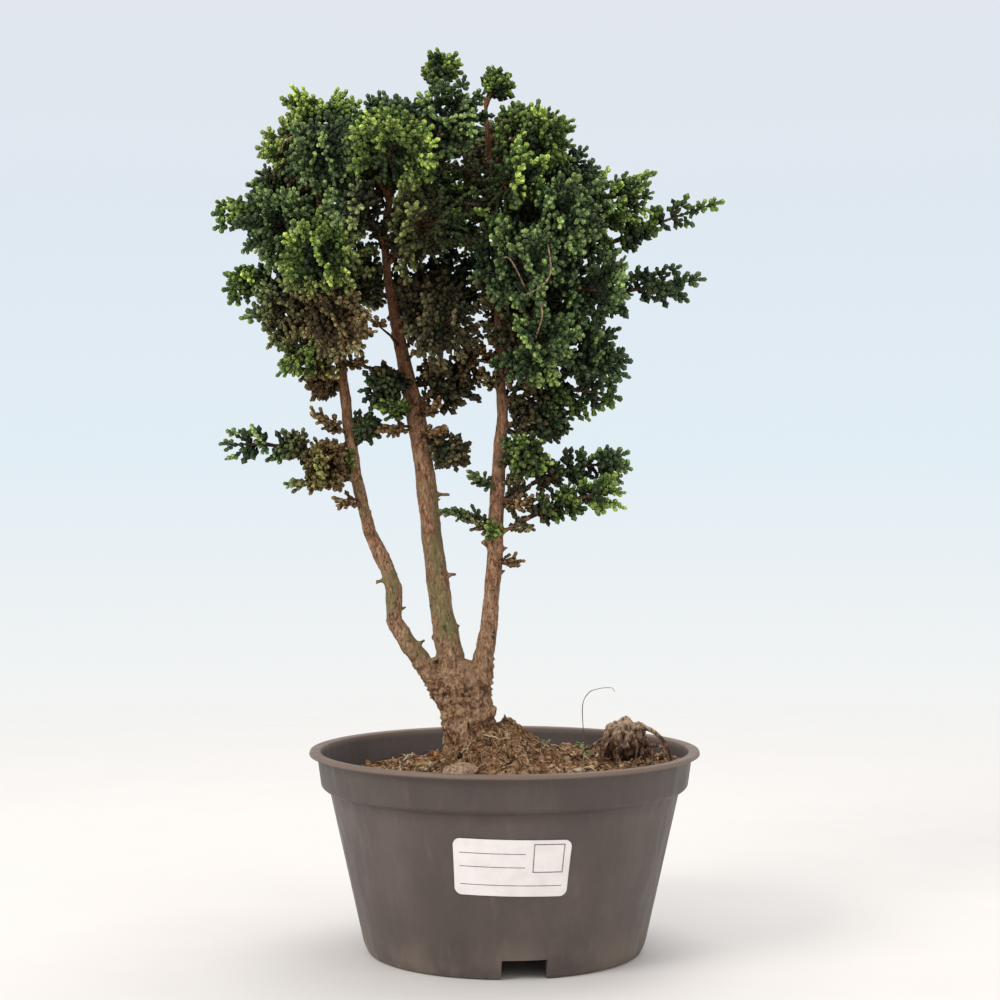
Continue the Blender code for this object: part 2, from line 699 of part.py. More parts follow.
def surface_tree(obj):
    """A tree that finds where a line from inside an object meets its surface."""
    shape = bmesh.new()
    shape.from_mesh(obj.data)
    tree = BVHTree.FromBMesh(shape)
    shape.free()
    return tree


def fan_frame(axis, width, core_tree, rank, count, draw):
    """(root, direction, normal, length) of one fan: rank 0 ends the spray, the last sits at its foot."""
    back = rank / (count - 1)
    length = width * draw.uniform(*FAN_LENGTH_SHARES)
    share = LAST_FAN_SHARE + (FIRST_FAN_SHARE - LAST_FAN_SHARE) * (1.0 - back)
    forward = forward_along(axis, share)
    side = forward.cross(Vector((0.0, 0.0, 1.0)))
    side = side.normalized() if side.length > 0.1 else Vector((1.0, 0.0, 0.0))
    over = side.cross(forward).normalized()
    turn = rank * GOLDEN_ANGLE + draw.uniform(-FAN_TURN_JITTER, FAN_TURN_JITTER)
    outward = side * math.cos(turn) + over * math.sin(turn)
    spread = (LAST_FAN_LEAN_DEG - FIRST_FAN_LEAN_DEG) * back ** LEAN_POWER
    lean = math.radians(FIRST_FAN_LEAN_DEG + spread)
    if rank == 0:
        root = along(axis, CORE_END - TIP_FAN_SETBACK)
        direction = (axis[-1] - root).normalized()
        length = (axis[-1] - root).length + TIP_OVERHANG
    else:
        direction = forward * math.cos(lean) + outward * math.sin(lean) + Vector((0.0, 0.0, FAN_LIFT))
        direction.normalize()
        middle = along(axis, share)
        surface = core_tree.ray_cast(middle * MM, outward)[0] / MM
        root = surface - outward * min(ROOT_DEPTH, ROOT_DEPTH_SHARE * (surface - middle).length)
    normal = outward - direction * outward.dot(direction)
    normal.normalize()
    twist = draw.uniform(-FAN_TWIST, FAN_TWIST)
    normal = normal * math.cos(twist) + direction.cross(normal) * math.sin(twist)
    return root, direction, normal, length


def fan_rays(number, frame, territories):
    """(angle, radius) of a fan's lobe tips and of the notches between them, seen from its root."""
    root, direction, normal, length = frame
    across = normal.cross(direction)
    steps = 2 * FAN_LOBES - 1
    rays = []
    for k in range(steps):
        share = 2.0 * k / (steps - 1) - 1.0
        angle = math.radians(FAN_HALF_ANGLE_DEG) * share
        radius = length * (1.0 - FAN_ROUNDNESS * share ** 2)
        tip = root + (direction * math.cos(angle) + across * math.sin(angle)) * radius
        radius *= max(territories.reach(number, root, tip), LEAST_REACH)
        rays.append((angle, radius * (FAN_NOTCH_SHARE if k % 2 else 1.0)))
    return rays


def fan_middle(rays, wish):
    """How far from the root the blade's middle may lie for every part of the outline to be seen from it."""
    for (angle, radius), (next_angle, next_radius) in zip(rays, rays[1:]):
        rise = next_radius * math.sin(next_angle) - radius * math.sin(angle)
        if rise > 0:
            limit = radius * next_radius * math.sin(next_angle - angle) / rise
            wish = min(wish, FAN_MIDDLE_MARGIN * limit)
    return wish


def make_fan(name, frame, rays, collection):
    """A lobed blade, thickest in its middle and cupped towards its sides."""
    root, direction, normal, length = frame
    across = normal.cross(direction)
    heart = root + direction * fan_middle(rays, FAN_MIDDLE_SHARE * length)
    half = normal * (FAN_THICKNESS / 2)
    points = [heart + half, heart - half, root]
    for angle, radius in rays:
        flat = direction * math.cos(angle) + across * math.sin(angle)
        points.append(root + flat * radius - normal * (FAN_CUP * radius * math.sin(angle) ** 2))
    ring = list(range(2, len(points)))
    faces = []
    for here, after in zip(ring, ring[1:] + ring[:1]):
        faces.append((0, here, after))
        faces.append((1, after, here))
    return new_object(name, mesh_from(name, points, faces), collection)


def make_spray(number, spray, territories, parts, cutters):
    """One leafy spray: a core on its twig, with lobed fans standing out of it."""
    stem, _, _, width, _, tone = spray
    axis = territories.axes[number]
    draw = random.Random(100 + number)
    radii = core_radii(number, axis, width, territories)
    route = [(along(axis, share), radius) for share, radius in radii]
    core = tube(f"spray_{stem}_{number + 1:02d}", route, parts, sides_step=0)
    tree = surface_tree(core)
    count = FANS_ON_LARGE_SPRAY if width > LARGE_SPRAY_WIDTH else FANS_ON_SMALL_SPRAY
    fans = []
    for rank in range(count):
        frame = fan_frame(axis, width, tree, rank, count, draw)
        fans.append(make_fan(f"fan_{rank}", frame, fan_rays(number, frame, territories), cutters))
    return shade(boolean(core, "UNION", fans), tone)


def main():
    clear_scene()
    parts = new_collection("hinoki_cypress_bonsai")
    cutters = new_collection("cutters")
    make_pot(parts, cutters)
    make_label(parts)
    make_soil(parts, cutters)
    make_wood(parts, cutters)
    make_root_clump(parts, cutters)
    make_stone(parts, cutters)
    make_bark_chip(parts, cutters)
    territories = Territories()
    for number, spray in enumerate(SPRAYS):
        make_spray(number, spray, territories, parts, cutters)


main()
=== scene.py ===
import json
import math
import random

import bmesh
import bpy
import numpy as np
from mathutils import Euler, Matrix, Vector, noise

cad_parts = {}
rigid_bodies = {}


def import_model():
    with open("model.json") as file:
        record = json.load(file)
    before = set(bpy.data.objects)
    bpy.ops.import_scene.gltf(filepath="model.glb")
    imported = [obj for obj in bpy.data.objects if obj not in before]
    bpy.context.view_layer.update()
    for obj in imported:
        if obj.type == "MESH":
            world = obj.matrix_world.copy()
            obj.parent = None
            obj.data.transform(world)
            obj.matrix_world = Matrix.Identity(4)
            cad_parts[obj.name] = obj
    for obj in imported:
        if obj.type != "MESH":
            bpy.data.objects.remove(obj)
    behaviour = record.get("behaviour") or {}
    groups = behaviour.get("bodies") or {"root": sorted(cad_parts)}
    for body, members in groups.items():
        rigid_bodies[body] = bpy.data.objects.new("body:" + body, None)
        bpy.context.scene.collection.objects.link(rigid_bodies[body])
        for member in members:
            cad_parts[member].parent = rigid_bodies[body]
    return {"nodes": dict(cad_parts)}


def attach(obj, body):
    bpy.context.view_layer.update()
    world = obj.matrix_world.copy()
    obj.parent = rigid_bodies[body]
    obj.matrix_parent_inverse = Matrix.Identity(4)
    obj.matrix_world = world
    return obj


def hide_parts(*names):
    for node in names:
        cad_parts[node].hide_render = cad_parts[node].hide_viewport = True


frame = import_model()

# Hinoki cypress bonsai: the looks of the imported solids. Sizes are in millimetres, and MM makes them metres.

MM = 0.001
UP = Vector((0.0, 0.0, 1.0))
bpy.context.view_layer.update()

# Camera and light
CAMERA_PLACE = (-2.1, -962.0, 215.7)
CAMERA_PITCH_DEG = -0.53
CAMERA_LENS = 75.0
FLOOR_COLOUR = (0.81, 0.75, 0.69)
FLOOR_RADIUS = 2.4  # metres, as the next one
FLOOR_DROP = 0.0004
FLOOR_SIDES = 96
SKY_STRENGTH = 1.0
SKY_SPAN = 0.26
SKY_STOPS = [(0.0, (0.93, 0.91, 0.87)), (0.3, (0.9, 0.91, 0.9)), (0.52, (0.76, 0.85, 0.91)),
             (0.75, (0.74, 0.81, 0.88)), (1.0, (0.76, 0.79, 0.84))]
LAMPS = [
    ("key", (-1.4, -1.2, 1.4), (0.0, 0.0, 0.2), 1.0, 22.0),
    ("fill", (1.5, -1.1, 0.9), (0.0, 0.0, 0.2), 1.2, 4.0),
    ("top", (0.2, 0.5, 1.9), (0.0, 0.0, 0.2), 1.2, 12.0),
]

# Pot, as the solid has it
RIM_RADIUS = 90.0
POT_HEIGHT = 92.0
LIP_THICKNESS = 1.8
BAND_TOP_RADIUS = 86.3
BAND_FOOT_RADIUS = 84.4
BAND_HEIGHT = 17.0
STEP_HEIGHT = 1.6
WALL_TOP_RADIUS = 80.4
WALL_FOOT_RADIUS = 65.0
WALL_FOOT_Z = 4.0
WALL_THICKNESS = 1.6
FOOT_RING_RADIUS = 63.0
FOOT_RING_WIDTH = 2.4
CHANNEL_HEIGHT = 9.0
FLOOR_THICKNESS = 2.0
CENTRE_FOOT_RADIUS = 20.0
POT_STEPS = 144
CORNER_STEPS = 3
SHARP_ANGLE_DEG = 38.0
NOTCH_WIDTH = 20.0
NOTCH_DEPTH = 14.0
NOTCH_COUNT = 3
FRONT_NOTCH_DEG = 7.5
DRAIN_HOLE_RADIUS = 4.0
DRAIN_HOLE_COUNT = 3
DRAIN_HOLE_PLACE = 42.0
DRAIN_HOLE_SIDES = 32
FIRST_HOLE_DEG = 67.5

# Label
LABEL_WIDTH = 50.0
LABEL_HEIGHT = 25.0
LABEL_CORNER = 3.2
LABEL_MIDDLE_Z = 50.5
LABEL_SIDE_SHIFT = 3.0
LABEL_TURN_DEG = 1.5
LABEL_THICKNESS = 0.3
LABEL_GAP = 0.3
LABEL_LIFT = 0.25
LABEL_COLUMNS = 90
LABEL_ROWS = 14
# Printed marks (left, right, low, high): the box's outside and inside, and the ruled lines
LABEL_MARKS = [(33.8, 47.2, 10.6, 23.4), (34.3, 46.7, 11.1, 22.9), (2.6, 30.5, 18.6, 19.0),
               (2.6, 47.2, 4.6, 5.0), (2.6, 30.5, 12.6, 13.0)]

# Soil
SOIL_LEVEL = 82.0
SOIL_SLOPE = 0.05
MOUND_HEIGHT = 22.0
MOUND_MIDDLE = (-3.0, -3.0)
MOUND_REACH = (27.0, 24.0)
SOIL_RADIUS = 82.2
SOIL_SIDE = [(64.4, 11.3), (78.2, 73.7), (82.2, 76.0)]
SOIL_SECTORS = 280
SOIL_RINGS = 66
CLOD_HEIGHT = 1.7
GRAIN_HEIGHT = 0.5
CRUMB_COUNT = 1900
FIBRE_COUNT = 420
MAT_COUNT = 760
FIBRE_STEPS = 6
LITTER_MARGIN = 3.0
SMALL_CRUMBS = (0.4, 1.3)
LARGE_CRUMBS = (1.3, 2.8)
SMALL_CRUMB_SHARE = 0.88
FIBRE_LENGTHS = (5, 16)
MAT_LENGTHS = (2.5, 7)
LITTER_TINTS = [(0.09, 0.04, 0.016), (0.24, 0.12, 0.052), (0.42, 0.245, 0.122), (0.036, 0.015, 0.006),
                (0.6, 0.4, 0.23), (0.34, 0.15, 0.055), (0.74, 0.56, 0.37)]
MAT_TINTS = [(0.48, 0.27, 0.125), (0.33, 0.17, 0.072), (0.62, 0.4, 0.215), (0.18, 0.082, 0.034)]
ORANGE = (0.56, 0.25, 0.085)
ORANGE_BITS = [(-31.4, -6, 3), (-44, -8, 2.2), (-34, -14, 1.8), (-49, 2, 1.6), (20, -20, 1.7)]
TRUNK_MIDDLE = (-16.0, 0.0)
TRUNK_RADIUS = 13.0
TRUNK_TOP = 116.0

# Loose roots: (points, thickness at the foot)
LOOSE_ROOTS = [
    ([(38.6, 12, 82), (36.4, 12, 108), (39, 12, 116), (44, 12, 118.4), (50, 12, 118.8),
      (51.6, 12, 117)], 0.24),
    ([(66, -4, 94), (71, -12, 94.5), (74, -18, 90), (76, -22, 84)], 1.1),
    ([(58, 2, 101), (66, -3, 101.5), (73, -7, 96), (77, -10, 86)], 1.5),
    ([(60, 0, 98), (61, -6, 93), (59, -12, 84)], 0.8), ([(65, -1, 98), (68, -8, 92), (67, -14, 84)], 0.7),
    ([(50, 0, 97), (46, -6, 93), (44, -13, 84)], 0.8),
    ([(45, 2, 96), (36, -6, 91), (27, -10, 86.5), (18, -16, 83)], 0.9),
]
LOOSE_ROOT_COLOUR = (0.06, 0.03, 0.018)

# Seedlings: (x, y, height, stalks)
SPROUTS = [(22.0, 20.0, 7.0, 3), (39.0, 14.0, 8.0, 3), (35.0, -14.0, 5.0, 2), (-38.0, -20.0, 5.0, 3)]
SPROUT_LEAF = (2.6, 1.3, 0.35)
SPROUT_GREENS = [(0.16, 0.26, 0.05), (0.3, 0.42, 0.1)]
SPROUT_STALK = (0.3, 0.33, 0.15)

# The wood's small things: stubs of lost twigs, and burrs as (x, z, reach, radius)
STUBS_PER_STEM = 9
STUB_HEIGHTS = (128.0, 270.0)
STUBS = [("middle", 209.0, (1.0, 0.0, 0.05), 10.5), ("middle", 171.5, (1.0, -0.1, 0.1), 9.0),
         ("left", 171.0, (-1.0, -0.1, -0.35), 7.0), ("right", 190.0, (-1.0, -0.1, -0.5), 7.0),
         ("left", 138.0, (0.8, -0.1, 0.6), 7.5)]
BURRS = [(-9.0, 108.0, 4.0, 3.2)]
WOOD_VOXEL = 0.8
# CAD pieces given a rough surface: mesh size, relief, size of its bumps, seed, smoothing steps
LUMPS = {"root_clump": (0.7, 1.8, 4.2, 5.0, 1), "stone": (0.8, 0.6, 4.0, 2.0, 3),
         "bark_chip": (0.5, 0.5, 2.0, 4.0, 1)}

# The crown's middle and how far it reaches from it
CROWN_MIDDLE = (-18.0, 0.0, 300.0)
CROWN_REACH = (100.0, 62.0, 105.0)

# Stems: (x, y, z, radius) from the trunk to the top
STEMS = {
    "left": [
        (-25.5, 0, 112, 5.2), (-35, -1, 128, 4.9), (-44, -1, 140, 4.3), (-51, 0, 151, 3.8),
        (-51.2, 0, 166, 3.9), (-54.3, 1, 175, 3.8), (-62.5, 2, 192, 3.1), (-69, 3, 219, 2.9),
        (-72.5, 3, 243, 2.8), (-75, 3, 265, 2.5), (-80, 2, 297, 2.1), (-84, 1, 331, 1.6),
        (-88, 0, 368, 1),
    ],
    "middle": [
        (-22, 1, 116, 7.5), (-25, 1, 133, 6.6), (-29, 2, 156, 5.5), (-33.5, 3, 188, 4.9),
        (-36.8, 3, 219, 4.8), (-41, 3, 246, 4.6), (-48, 4, 277, 3.2), (-54, 4, 309, 2.2),
        (-56, 4, 330, 1.9), (-52, 4, 352, 1.6), (-44, 3, 374, 1.2), (-34, 2, 394, 0.9),
    ],
    "right": [
        (-12.8, 0, 116, 7), (-9.8, -1, 133, 5.1), (-6.4, -2, 153, 4.1), (-4.4, -3, 187, 3.8),
        (-3.1, -3, 216, 3.4), (-1, -3, 246, 2.8), (-2, -3, 265, 2.4), (-3, -2, 304, 2),
        (-4, -2, 334, 1.7), (-7, -2, 363, 1.4), (-9, -1, 392, 0.9),
    ],
}

# Leafy sprays on each stem: (height where the branch leaves the stem, tip, half width, upward bow, tone)
SPRAY_ROWS = {
    "left": [
        (360, (-86, -4, 386), 16, 2, "fresh"), (350, (-98, -14, 368), 15, 5, "fresh"),
        (335, (-109, 6, 349), 13, 6, "dark"), (318, (-131, -10, 337), 7, 6, "fresh"),
        (300, (-127, 0, 304), 8, 5, "fresh"), (292, (-107, -18, 290), 16, 3, "dark"),
        (272, (-92, -24, 272), 13, 3, "fresh"), (262, (-88, 2, 260), 8, 2, "old"),
        (345, (-78, -52, 360), 19, 6, "dark"), (318, (-106, -44, 327), 19, 6, "dark"),
        (300, (-80, -58, 312), 19, 6, "fresh"), (280, (-75, -44, 286), 16, 4, "old"),
        (340, (-91, 46, 370), 20, 6, "dark"), (312, (-107, 48, 336), 19, 6, "fresh"),
        (290, (-78, 60, 316), 22, 6, "dark"), (222, (-127, -9, 232), 8, 4, "dark"),
        (214, (-89, -8, 222), 11, 3, "fresh"), (243, (-61, 1, 239), 5, 0, "dark"),
    ],
    "middle": [
        (392, (-27, 0, 408), 7, 2, "fresh"), (368, (-58, -14, 376), 16, 4, "dark"),
        (350, (-50, -62, 356), 21, 8, "fresh"), (345, (-79, 12, 384), 16, 4, "fresh"),
        (360, (-17, -36, 378), 18, 6, "dark"), (322, (-66, -54, 336), 16, 6, "dark"),
        (315, (-24, -60, 328), 20, 6, "fresh"), (290, (-20, -36, 283), 18, 4, "old"),
        (262, (-57, -14, 256), 9, 3, "dark"), (250, (-13, 3, 265), 14, 3, "old"),
        (234, (-21, 0, 225), 8, 2, "old"), (358, (-50, 50, 377), 22, 6, "dark"),
        (325, (-19, 61, 346), 23, 8, "fresh"), (285, (-26, 46, 308), 22, 6, "dark"),
    ],
    "right": [
        (388, (-2, -1, 400), 7, 1, "fresh"), (372, (25, 1, 374), 11, 5, "fresh"),
        (360, (22, -38, 362), 18, 6, "fresh"), (345, (42, -5, 352), 16, 6, "dark"),
        (318, (67, -5, 347), 14, 3, "fresh"), (300, (97, 5, 344), 7, 3, "fresh"),
        (285, (87, -4, 308), 9, 3, "dark"), (340, (5, -60, 344), 18, 6, "fresh"),
        (322, (33, -56, 330), 20, 6, "dark"), (305, (11, -63, 308), 19, 6, "dark"),
        (296, (51, -40, 298), 18, 5, "dark"), (268, (19, -48, 273), 17, 4, "fresh"),
        (262, (49, -20, 273), 16, 4, "dark"), (252, (50, 2, 255), 12, 4, "fresh"),
        (240, (28, 6, 245), 13, 3, "dark"), (224, (11, -12, 227), 10, 2, "fresh"),
        (203, (56, 6, 222), 8, 8, "dark"), (190, (52, -12, 211), 8, 4, "fresh"),
        (350, (10, 54, 373), 22, 6, "dark"), (328, (45, 54, 350), 22, 6, "fresh"),
        (285, (24, 62, 312), 24, 7, "dark"),
    ],
}
SPRAYS = [(stem, *row) for stem, rows in SPRAY_ROWS.items() for row in rows]

# Spray shape, as the solids have it
AXIS_STEPS = 6
WOODY_SHARE = 0.3
CORE_SHARE = 0.48
CORE_END = 0.85
FAN_LOBES = 5
FAN_LENGTH_SHARES = (1.25, 1.55)
FAN_HALF_ANGLE_DEG = 64.0
FAN_CUP = 0.22
FAN_ROUNDING = 0.13
FAN_LIFT = 0.12
FIRST_FAN_SHARE = 0.84
LAST_FAN_SHARE = 0.42
FIRST_FAN_LEAN_DEG = 12.0
LAST_FAN_LEAN_DEG = 76.0
LARGE_SPRAY_WIDTH = 19.5
FANS_ON_LARGE_SPRAY = 6
FANS_ON_SMALL_SPRAY = 4
TIP_OVERHANG = 3.0
GOLDEN_ANGLE = math.radians(137.508)

# What the scene adds to a spray
MORE_FANS = 5
MORE_FANS_LEAN_DEG = (25.0, 80.0)
MORE_FANS_LIFT = 0.15
INNER_FANS = 5
INNER_FAN_LENGTH = 0.8
LEAFY_SHARES = (0.34, 0.86)
SPRAY_TWIG = [(WOODY_SHARE - 0.03, 1.15), (0.45, 1.0), (0.6, 0.85), (0.75, 0.7), (0.88, 0.5)]
CORE_KNOBS = 18
NEW_GROWTH_SHARE = 0.16
NEW_GROWTH_LIGHT = 0.28
FOOT_LIGHT = 0.2
TIP_LIGHT = 0.52
INNER_LIGHT = 0.42
OUTER_LIGHT = 0.8
RIB_LIGHT = 0.12
TUFT_STEP = 5.2
LIT_ROWS = [(-80.0, 1), (-42.0, 2), (0.0, 3), (42.0, 2), (80.0, 1)]
SHADED_ROWS = [(-60.0, 1), (0.0, 2), (60.0, 1)]
KNOB_TURN_DEG = 9.0
LIT_FROM = 0.32
SHADED_GROWTH = 1.35
LEAF_WIDTH = 2.5
LEAF_LENGTH = 3.4
LEAF_THICKNESS = 1.9
LEAF_OVERLAP = 0.5
RIB_LEAF_STEP = LEAF_LENGTH * 0.8
SCALE_SIZE = 1.15
INNER_REACH = 0.6
CROWN_FOOT = 262.0
LOW_LIGHT = 0.16
LOW_BROWN_TOP = 330.0
BROWN_TOP = 384.0
BROWN_REACH = 26.0
LOW_BROWN_REACH = 8.0
BROWN_FADE = 16.0
LOW_BROWN_SPAN = 50.0
AGED_SHARE = 0.85
DEAD_SHARE = 0.65
GREEN_BELOW = 262.0
GREEN_FROM = -74.0
GREEN_PART = 0.2
AGED_PATCHES = [(-114.0, -48.0, 272.0, 308.0, 0.85), (-74.0, -24.0, 290.0, 352.0, 0.75)]
DULL_FROM = -10.0
DULL_TOP = 308.0
DULL_FOOT = 254.0
DULL_SHARE = 0.8
RIB_MARGIN = 4.5
TERRITORY_OVERLAP = 2.0
SPRAY_REACH = 1.0
REACH_STEPS = 14
BRANCH_CLEARANCE = 1.5
STEM_CLEARANCE = 3.5

# Small sprigs of each tone on the stems: (stem, height of the foot, tip)
SPRIGS = {
    "dark": [
        ("left", 216, (-96, -6, 214)), ("middle", 342, (-64, 12, 350)), ("middle", 336, (-48, 14, 342)),
        ("middle", 328, (-62, 12, 334)), ("middle", 318, (-46, 14, 326)), ("right", 356, (-18, 8, 372)),
        ("right", 330, (-14, 10, 342)), ("right", 348, (-21, 6, 360)), ("right", 342, (-16, 8, 356)),
        ("middle", 352, (-28, 8, 362)), ("middle", 318, (-26, 14, 326)), ("right", 300, (-14, 10, 308)),
        ("left", 300, (-70, 8, 312)), ("left", 318, (-74, 8, 330)), ("right", 212, (-14, -8, 217)),
        ("right", 196, (-24, -9, 201)), ("right", 340, (-17, -14, 362)), ("middle", 352, (-22, -12, 366)),
    ],
    "dead": [
        ("left", 206, (-75, -6, 206)), ("middle", 276, (-57, -10, 286)), ("middle", 270, (-38, -8, 275)),
        ("middle", 240, (-54, -5, 239)), ("middle", 244, (-32, -6, 250)), ("middle", 236, (-30, -8, 238)),
        ("right", 256, (-9, -7, 263)), ("right", 202, (10, -8, 206)), ("right", 178, (4, -7, 178)),
    ],
    "fresh": [
        ("middle", 244, (-57, -8, 249)), ("middle", 246, (-52, -10, 252)), ("right", 190, (-5, -12, 193)),
    ],
    "old": [
        ("left", 236, (-86, -6, 245)), ("left", 226, (-80, -8, 232)), ("left", 268, (-67, -6, 270)),
        ("right", 318, (-16, 10, 326)), ("right", 266, (-11, -7, 276)), ("right", 212, (6, -8, 217)),
        ("right", 192, (-14, -8, 197)),
    ],
}
SPRIG_STEP = 2.6

# Dead twigs among the leaves: (points, thickness)
DRY_TWIGS = [
    ([(-3, -40, 314), (-1, -57, 312.5), (2, -63, 311.5), (5.7, -62, 305.5), (9, -48, 300)], 0.32),
    ([(18, -44, 322), (19, -62, 315), (19.5, -66, 304.5), (14.5, -66, 298.5), (8, -52, 296.5)], 0.32),
    ([(15.5, -46, 294), (15.8, -60, 291), (16, -63, 286), (13.5, -50, 278)], 0.32),
    ([(-86, -18, 372), (-92, -32, 370), (-98, -31, 367), (-101, -18, 364)], 0.32),
]

# Where the crown is open from the front: (stem, lowest, highest), and how wide
SLOTS = [("middle", 262.0, 358.0), ("right", 335.0, 372.0)]
SLOT_HALF_WIDTH = 7.0
HOLLOW_MIDDLE = (-25.0, 326.0)
HOLLOW_REACH = (13.0, 36.0)
HOLLOW_FRONT = -22.0

# Foliage colours from the shaded root of a fan to its lit edge
TONES = {
    "fresh": [(0.013, 0.022, 0.007), (0.052, 0.084, 0.02), (0.18, 0.275, 0.052), (0.62, 0.78, 0.15)],
    "dark": [(0.012, 0.02, 0.009), (0.034, 0.056, 0.022), (0.11, 0.17, 0.058), (0.36, 0.49, 0.14)],
    "old": [(0.022, 0.017, 0.008), (0.07, 0.057, 0.024), (0.17, 0.142, 0.06), (0.34, 0.3, 0.13)],
    "dead": [(0.038, 0.02, 0.008), (0.13, 0.064, 0.025), (0.26, 0.138, 0.054), (0.43, 0.25, 0.11)],
}
TWIG_COLOUR = (0.085, 0.045, 0.022)

# The two leaf shapes, as (share of the length, share of the width) from foot to tip
FULL_LEAF = [(0.0, 0.0), (0.32, 0.88), (0.76, 1.0), (1.0, 0.0)]
PLAIN_LEAF = [(0.0, 0.0), (0.6, 1.0), (1.0, 0.0)]


def polar(radius, angle):
    """The point in plan at a radius and an angle."""
    return radius * math.cos(angle), radius * math.sin(angle)


def circle(radius, steps):
    return [polar(radius, 2 * math.pi * k / steps) for k in range(steps)]


def turned(first, second, angle):
    """The first vector turned by an angle towards the second."""
    return first * math.cos(angle) + second * math.sin(angle)


def squared(vector, direction):
    """The vector of length 1 square on a direction that is nearest to another vector."""
    return (vector - direction * vector.dot(direction)).normalized()


def spoke(direction, angle):
    """A vector square on a direction, turned round it by an angle."""
    out = direction.orthogonal().normalized()
    out.rotate(Matrix.Rotation(angle, 3, direction))
    return out


def blend(low, high, share):
    return tuple(a + (b - a) * share for a, b in zip(low, high))


def eased(value, span):
    """0 below 0, 1 above the span, and a straight slope between them."""
    return min(max(value / span, 0.0), 1.0)


def tone_colour(tone, light):
    """The colour of a tone at a lightness from 0 to 1."""
    stops = TONES[tone]
    place = min(max(light, 0.0), 0.999) * (len(stops) - 1)
    return blend(stops[int(place)], stops[int(place) + 1], place - int(place))


def smooth_route(route, steps=5):
    """A curve through the points of a route."""
    points = [Vector(place) for place in route]
    padded = [points[0] * 2 - points[1]] + points + [points[-1] * 2 - points[-2]]
    curve = []
    for p0, p1, p2, p3 in zip(padded, padded[1:], padded[2:], padded[3:]):
        for t in (k / steps for k in range(steps)):
            curve.append(0.5 * ((2 * p1) + (p2 - p0) * t + (2 * p0 - 5 * p1 + 4 * p2 - p3) * t * t
                                + (3 * p1 - p0 - 3 * p2 + p3) * t ** 3))
    return curve + [points[-1]]


class Shape:
    """Points, faces and a colour for each point, gathered for one object."""

    def __init__(self):
        self.points, self.faces, self.tints, self.count = [], [], [], 0

    def add(self, points, faces, tints):
        points = np.array(points, float).reshape(-1, 3)
        tints = np.array(tints, float).reshape(-1, 3)
        self.points.append(points)
        self.tints.append(np.broadcast_to(tints, points.shape))
        self.faces += [tuple(self.count + corner for corner in face) for face in faces]
        self.count += len(points)

    def tube(self, route, radii, sides, tint):
        """A closed tube through the points of a route."""
        points, faces = [], []
        route = [Vector(place) for place in route]
        side = (route[1] - route[0]).orthogonal().normalized()
        for k, (place, radius) in enumerate(zip(route, radii)):
            forward = (route[min(k + 1, len(route) - 1)] - route[max(k - 1, 0)]).normalized()
            side = squared(side, forward)
            over = forward.cross(side)
            points += [place + turned(side, over, 2 * math.pi * j / sides) * radius for j in range(sides)]
        for low in range(0, len(points) - sides, sides):
            for j in range(sides):
                after, high = (j + 1) % sides, low + sides
                faces.append((low + j, low + after, high + after, high + j))
        faces.append(tuple(reversed(range(sides))))
        faces.append(tuple(range(len(points) - sides, len(points))))
        self.add(points, faces, tint)

    def crumb(self, middle, sizes, tint, draw, turn):
        """A small angular lump with eight sides and uneven corners."""
        points = []
        for corner in [(1, 0, 0), (0, 1, 0), (-1, 0, 0), (0, -1, 0), (0, 0, 1), (0, 0, -1)]:
            spot = Vector(a * b for a, b in zip(corner, sizes)) * draw.uniform(0.7, 1.2)
            spot.rotate(turn)
            points.append(Vector(middle) + spot)
        faces = [(0, 1, 4), (1, 2, 4), (2, 3, 4), (3, 0, 4), (1, 0, 5), (2, 1, 5), (3, 2, 5), (0, 3, 5)]
        self.add(points, faces, tint)

    def object(self, name, material):
        mesh = bpy.data.meshes.new(name)
        mesh.from_pydata(np.concatenate(self.points) * MM, [], self.faces)
        layer = mesh.color_attributes.new("tint", "FLOAT_COLOR", "POINT")
        values = np.ones((self.count, 4), np.float32)
        values[:, :3] = np.concatenate(self.tints)
        layer.data.foreach_set("color", values.ravel())
        return placed(name, mesh, material)


class Leaves:
    """Scale leaves of one outline."""

    def __init__(self, outline):
        self.rows = []
        self.outline = outline

    def add(self, foot, direction, normal, size, low_tint, high_tint):
        across = normal.cross(direction)
        self.rows.append((*foot, *direction, *across, *normal, *size, *low_tint, *high_tint))

    def pour_into(self, shape):
        if not self.rows:
            return
        foot, direction, across, normal, size, low_tint, high_tint = np.hsplit(np.array(self.rows), 7)
        length, width, thickness = np.hsplit(size, 3)
        local, faces = leaf_pattern(self.outline)
        points, tints = [], []
        for forward, sideways, up in local:
            points.append(foot + direction * length * forward + across * width * sideways
                          + normal * thickness * up)
            tints.append(low_tint + (high_tint - low_tint) * forward)
        firsts = np.arange(len(foot)) * len(local)
        all_faces = (firsts[:, None, None] + np.array(faces)[None]).reshape(-1, 3)
        shape.add(np.stack(points, axis=1), all_faces.tolist(), np.stack(tints, axis=1))


def leaf_pattern(outline):
    """Points (along, across, out) and triangles of a leaf with a four-sided section."""
    points = [(0.0, 0.0, 0.0)]
    for share, swell in outline[1:-1]:
        half = swell / 2
        points += [(share, half, 0.0), (share, 0.0, half), (share, -half, 0.0), (share, 0.0, -half)]
    points.append((1.0, 0.0, 0.0))
    faces = []
    for j in range(4):
        after = (j + 1) % 4
        faces.append((0, 1 + after, 1 + j))
        faces.append((len(points) - 1, len(points) - 5 + j, len(points) - 5 + after))
        for low in range(1, len(points) - 5, 4):
            high = low + 4
            faces += [(low + j, low + after, high + after), (low + j, high + after, high + j)]
    return points, faces


def placed(name, mesh, material):
    """A smooth object made from a mesh."""
    mesh.materials.clear()
    mesh.materials.append(material)
    mesh.shade_smooth()
    obj = bpy.data.objects.new(name, mesh)
    bpy.context.scene.collection.objects.link(obj)
    return obj


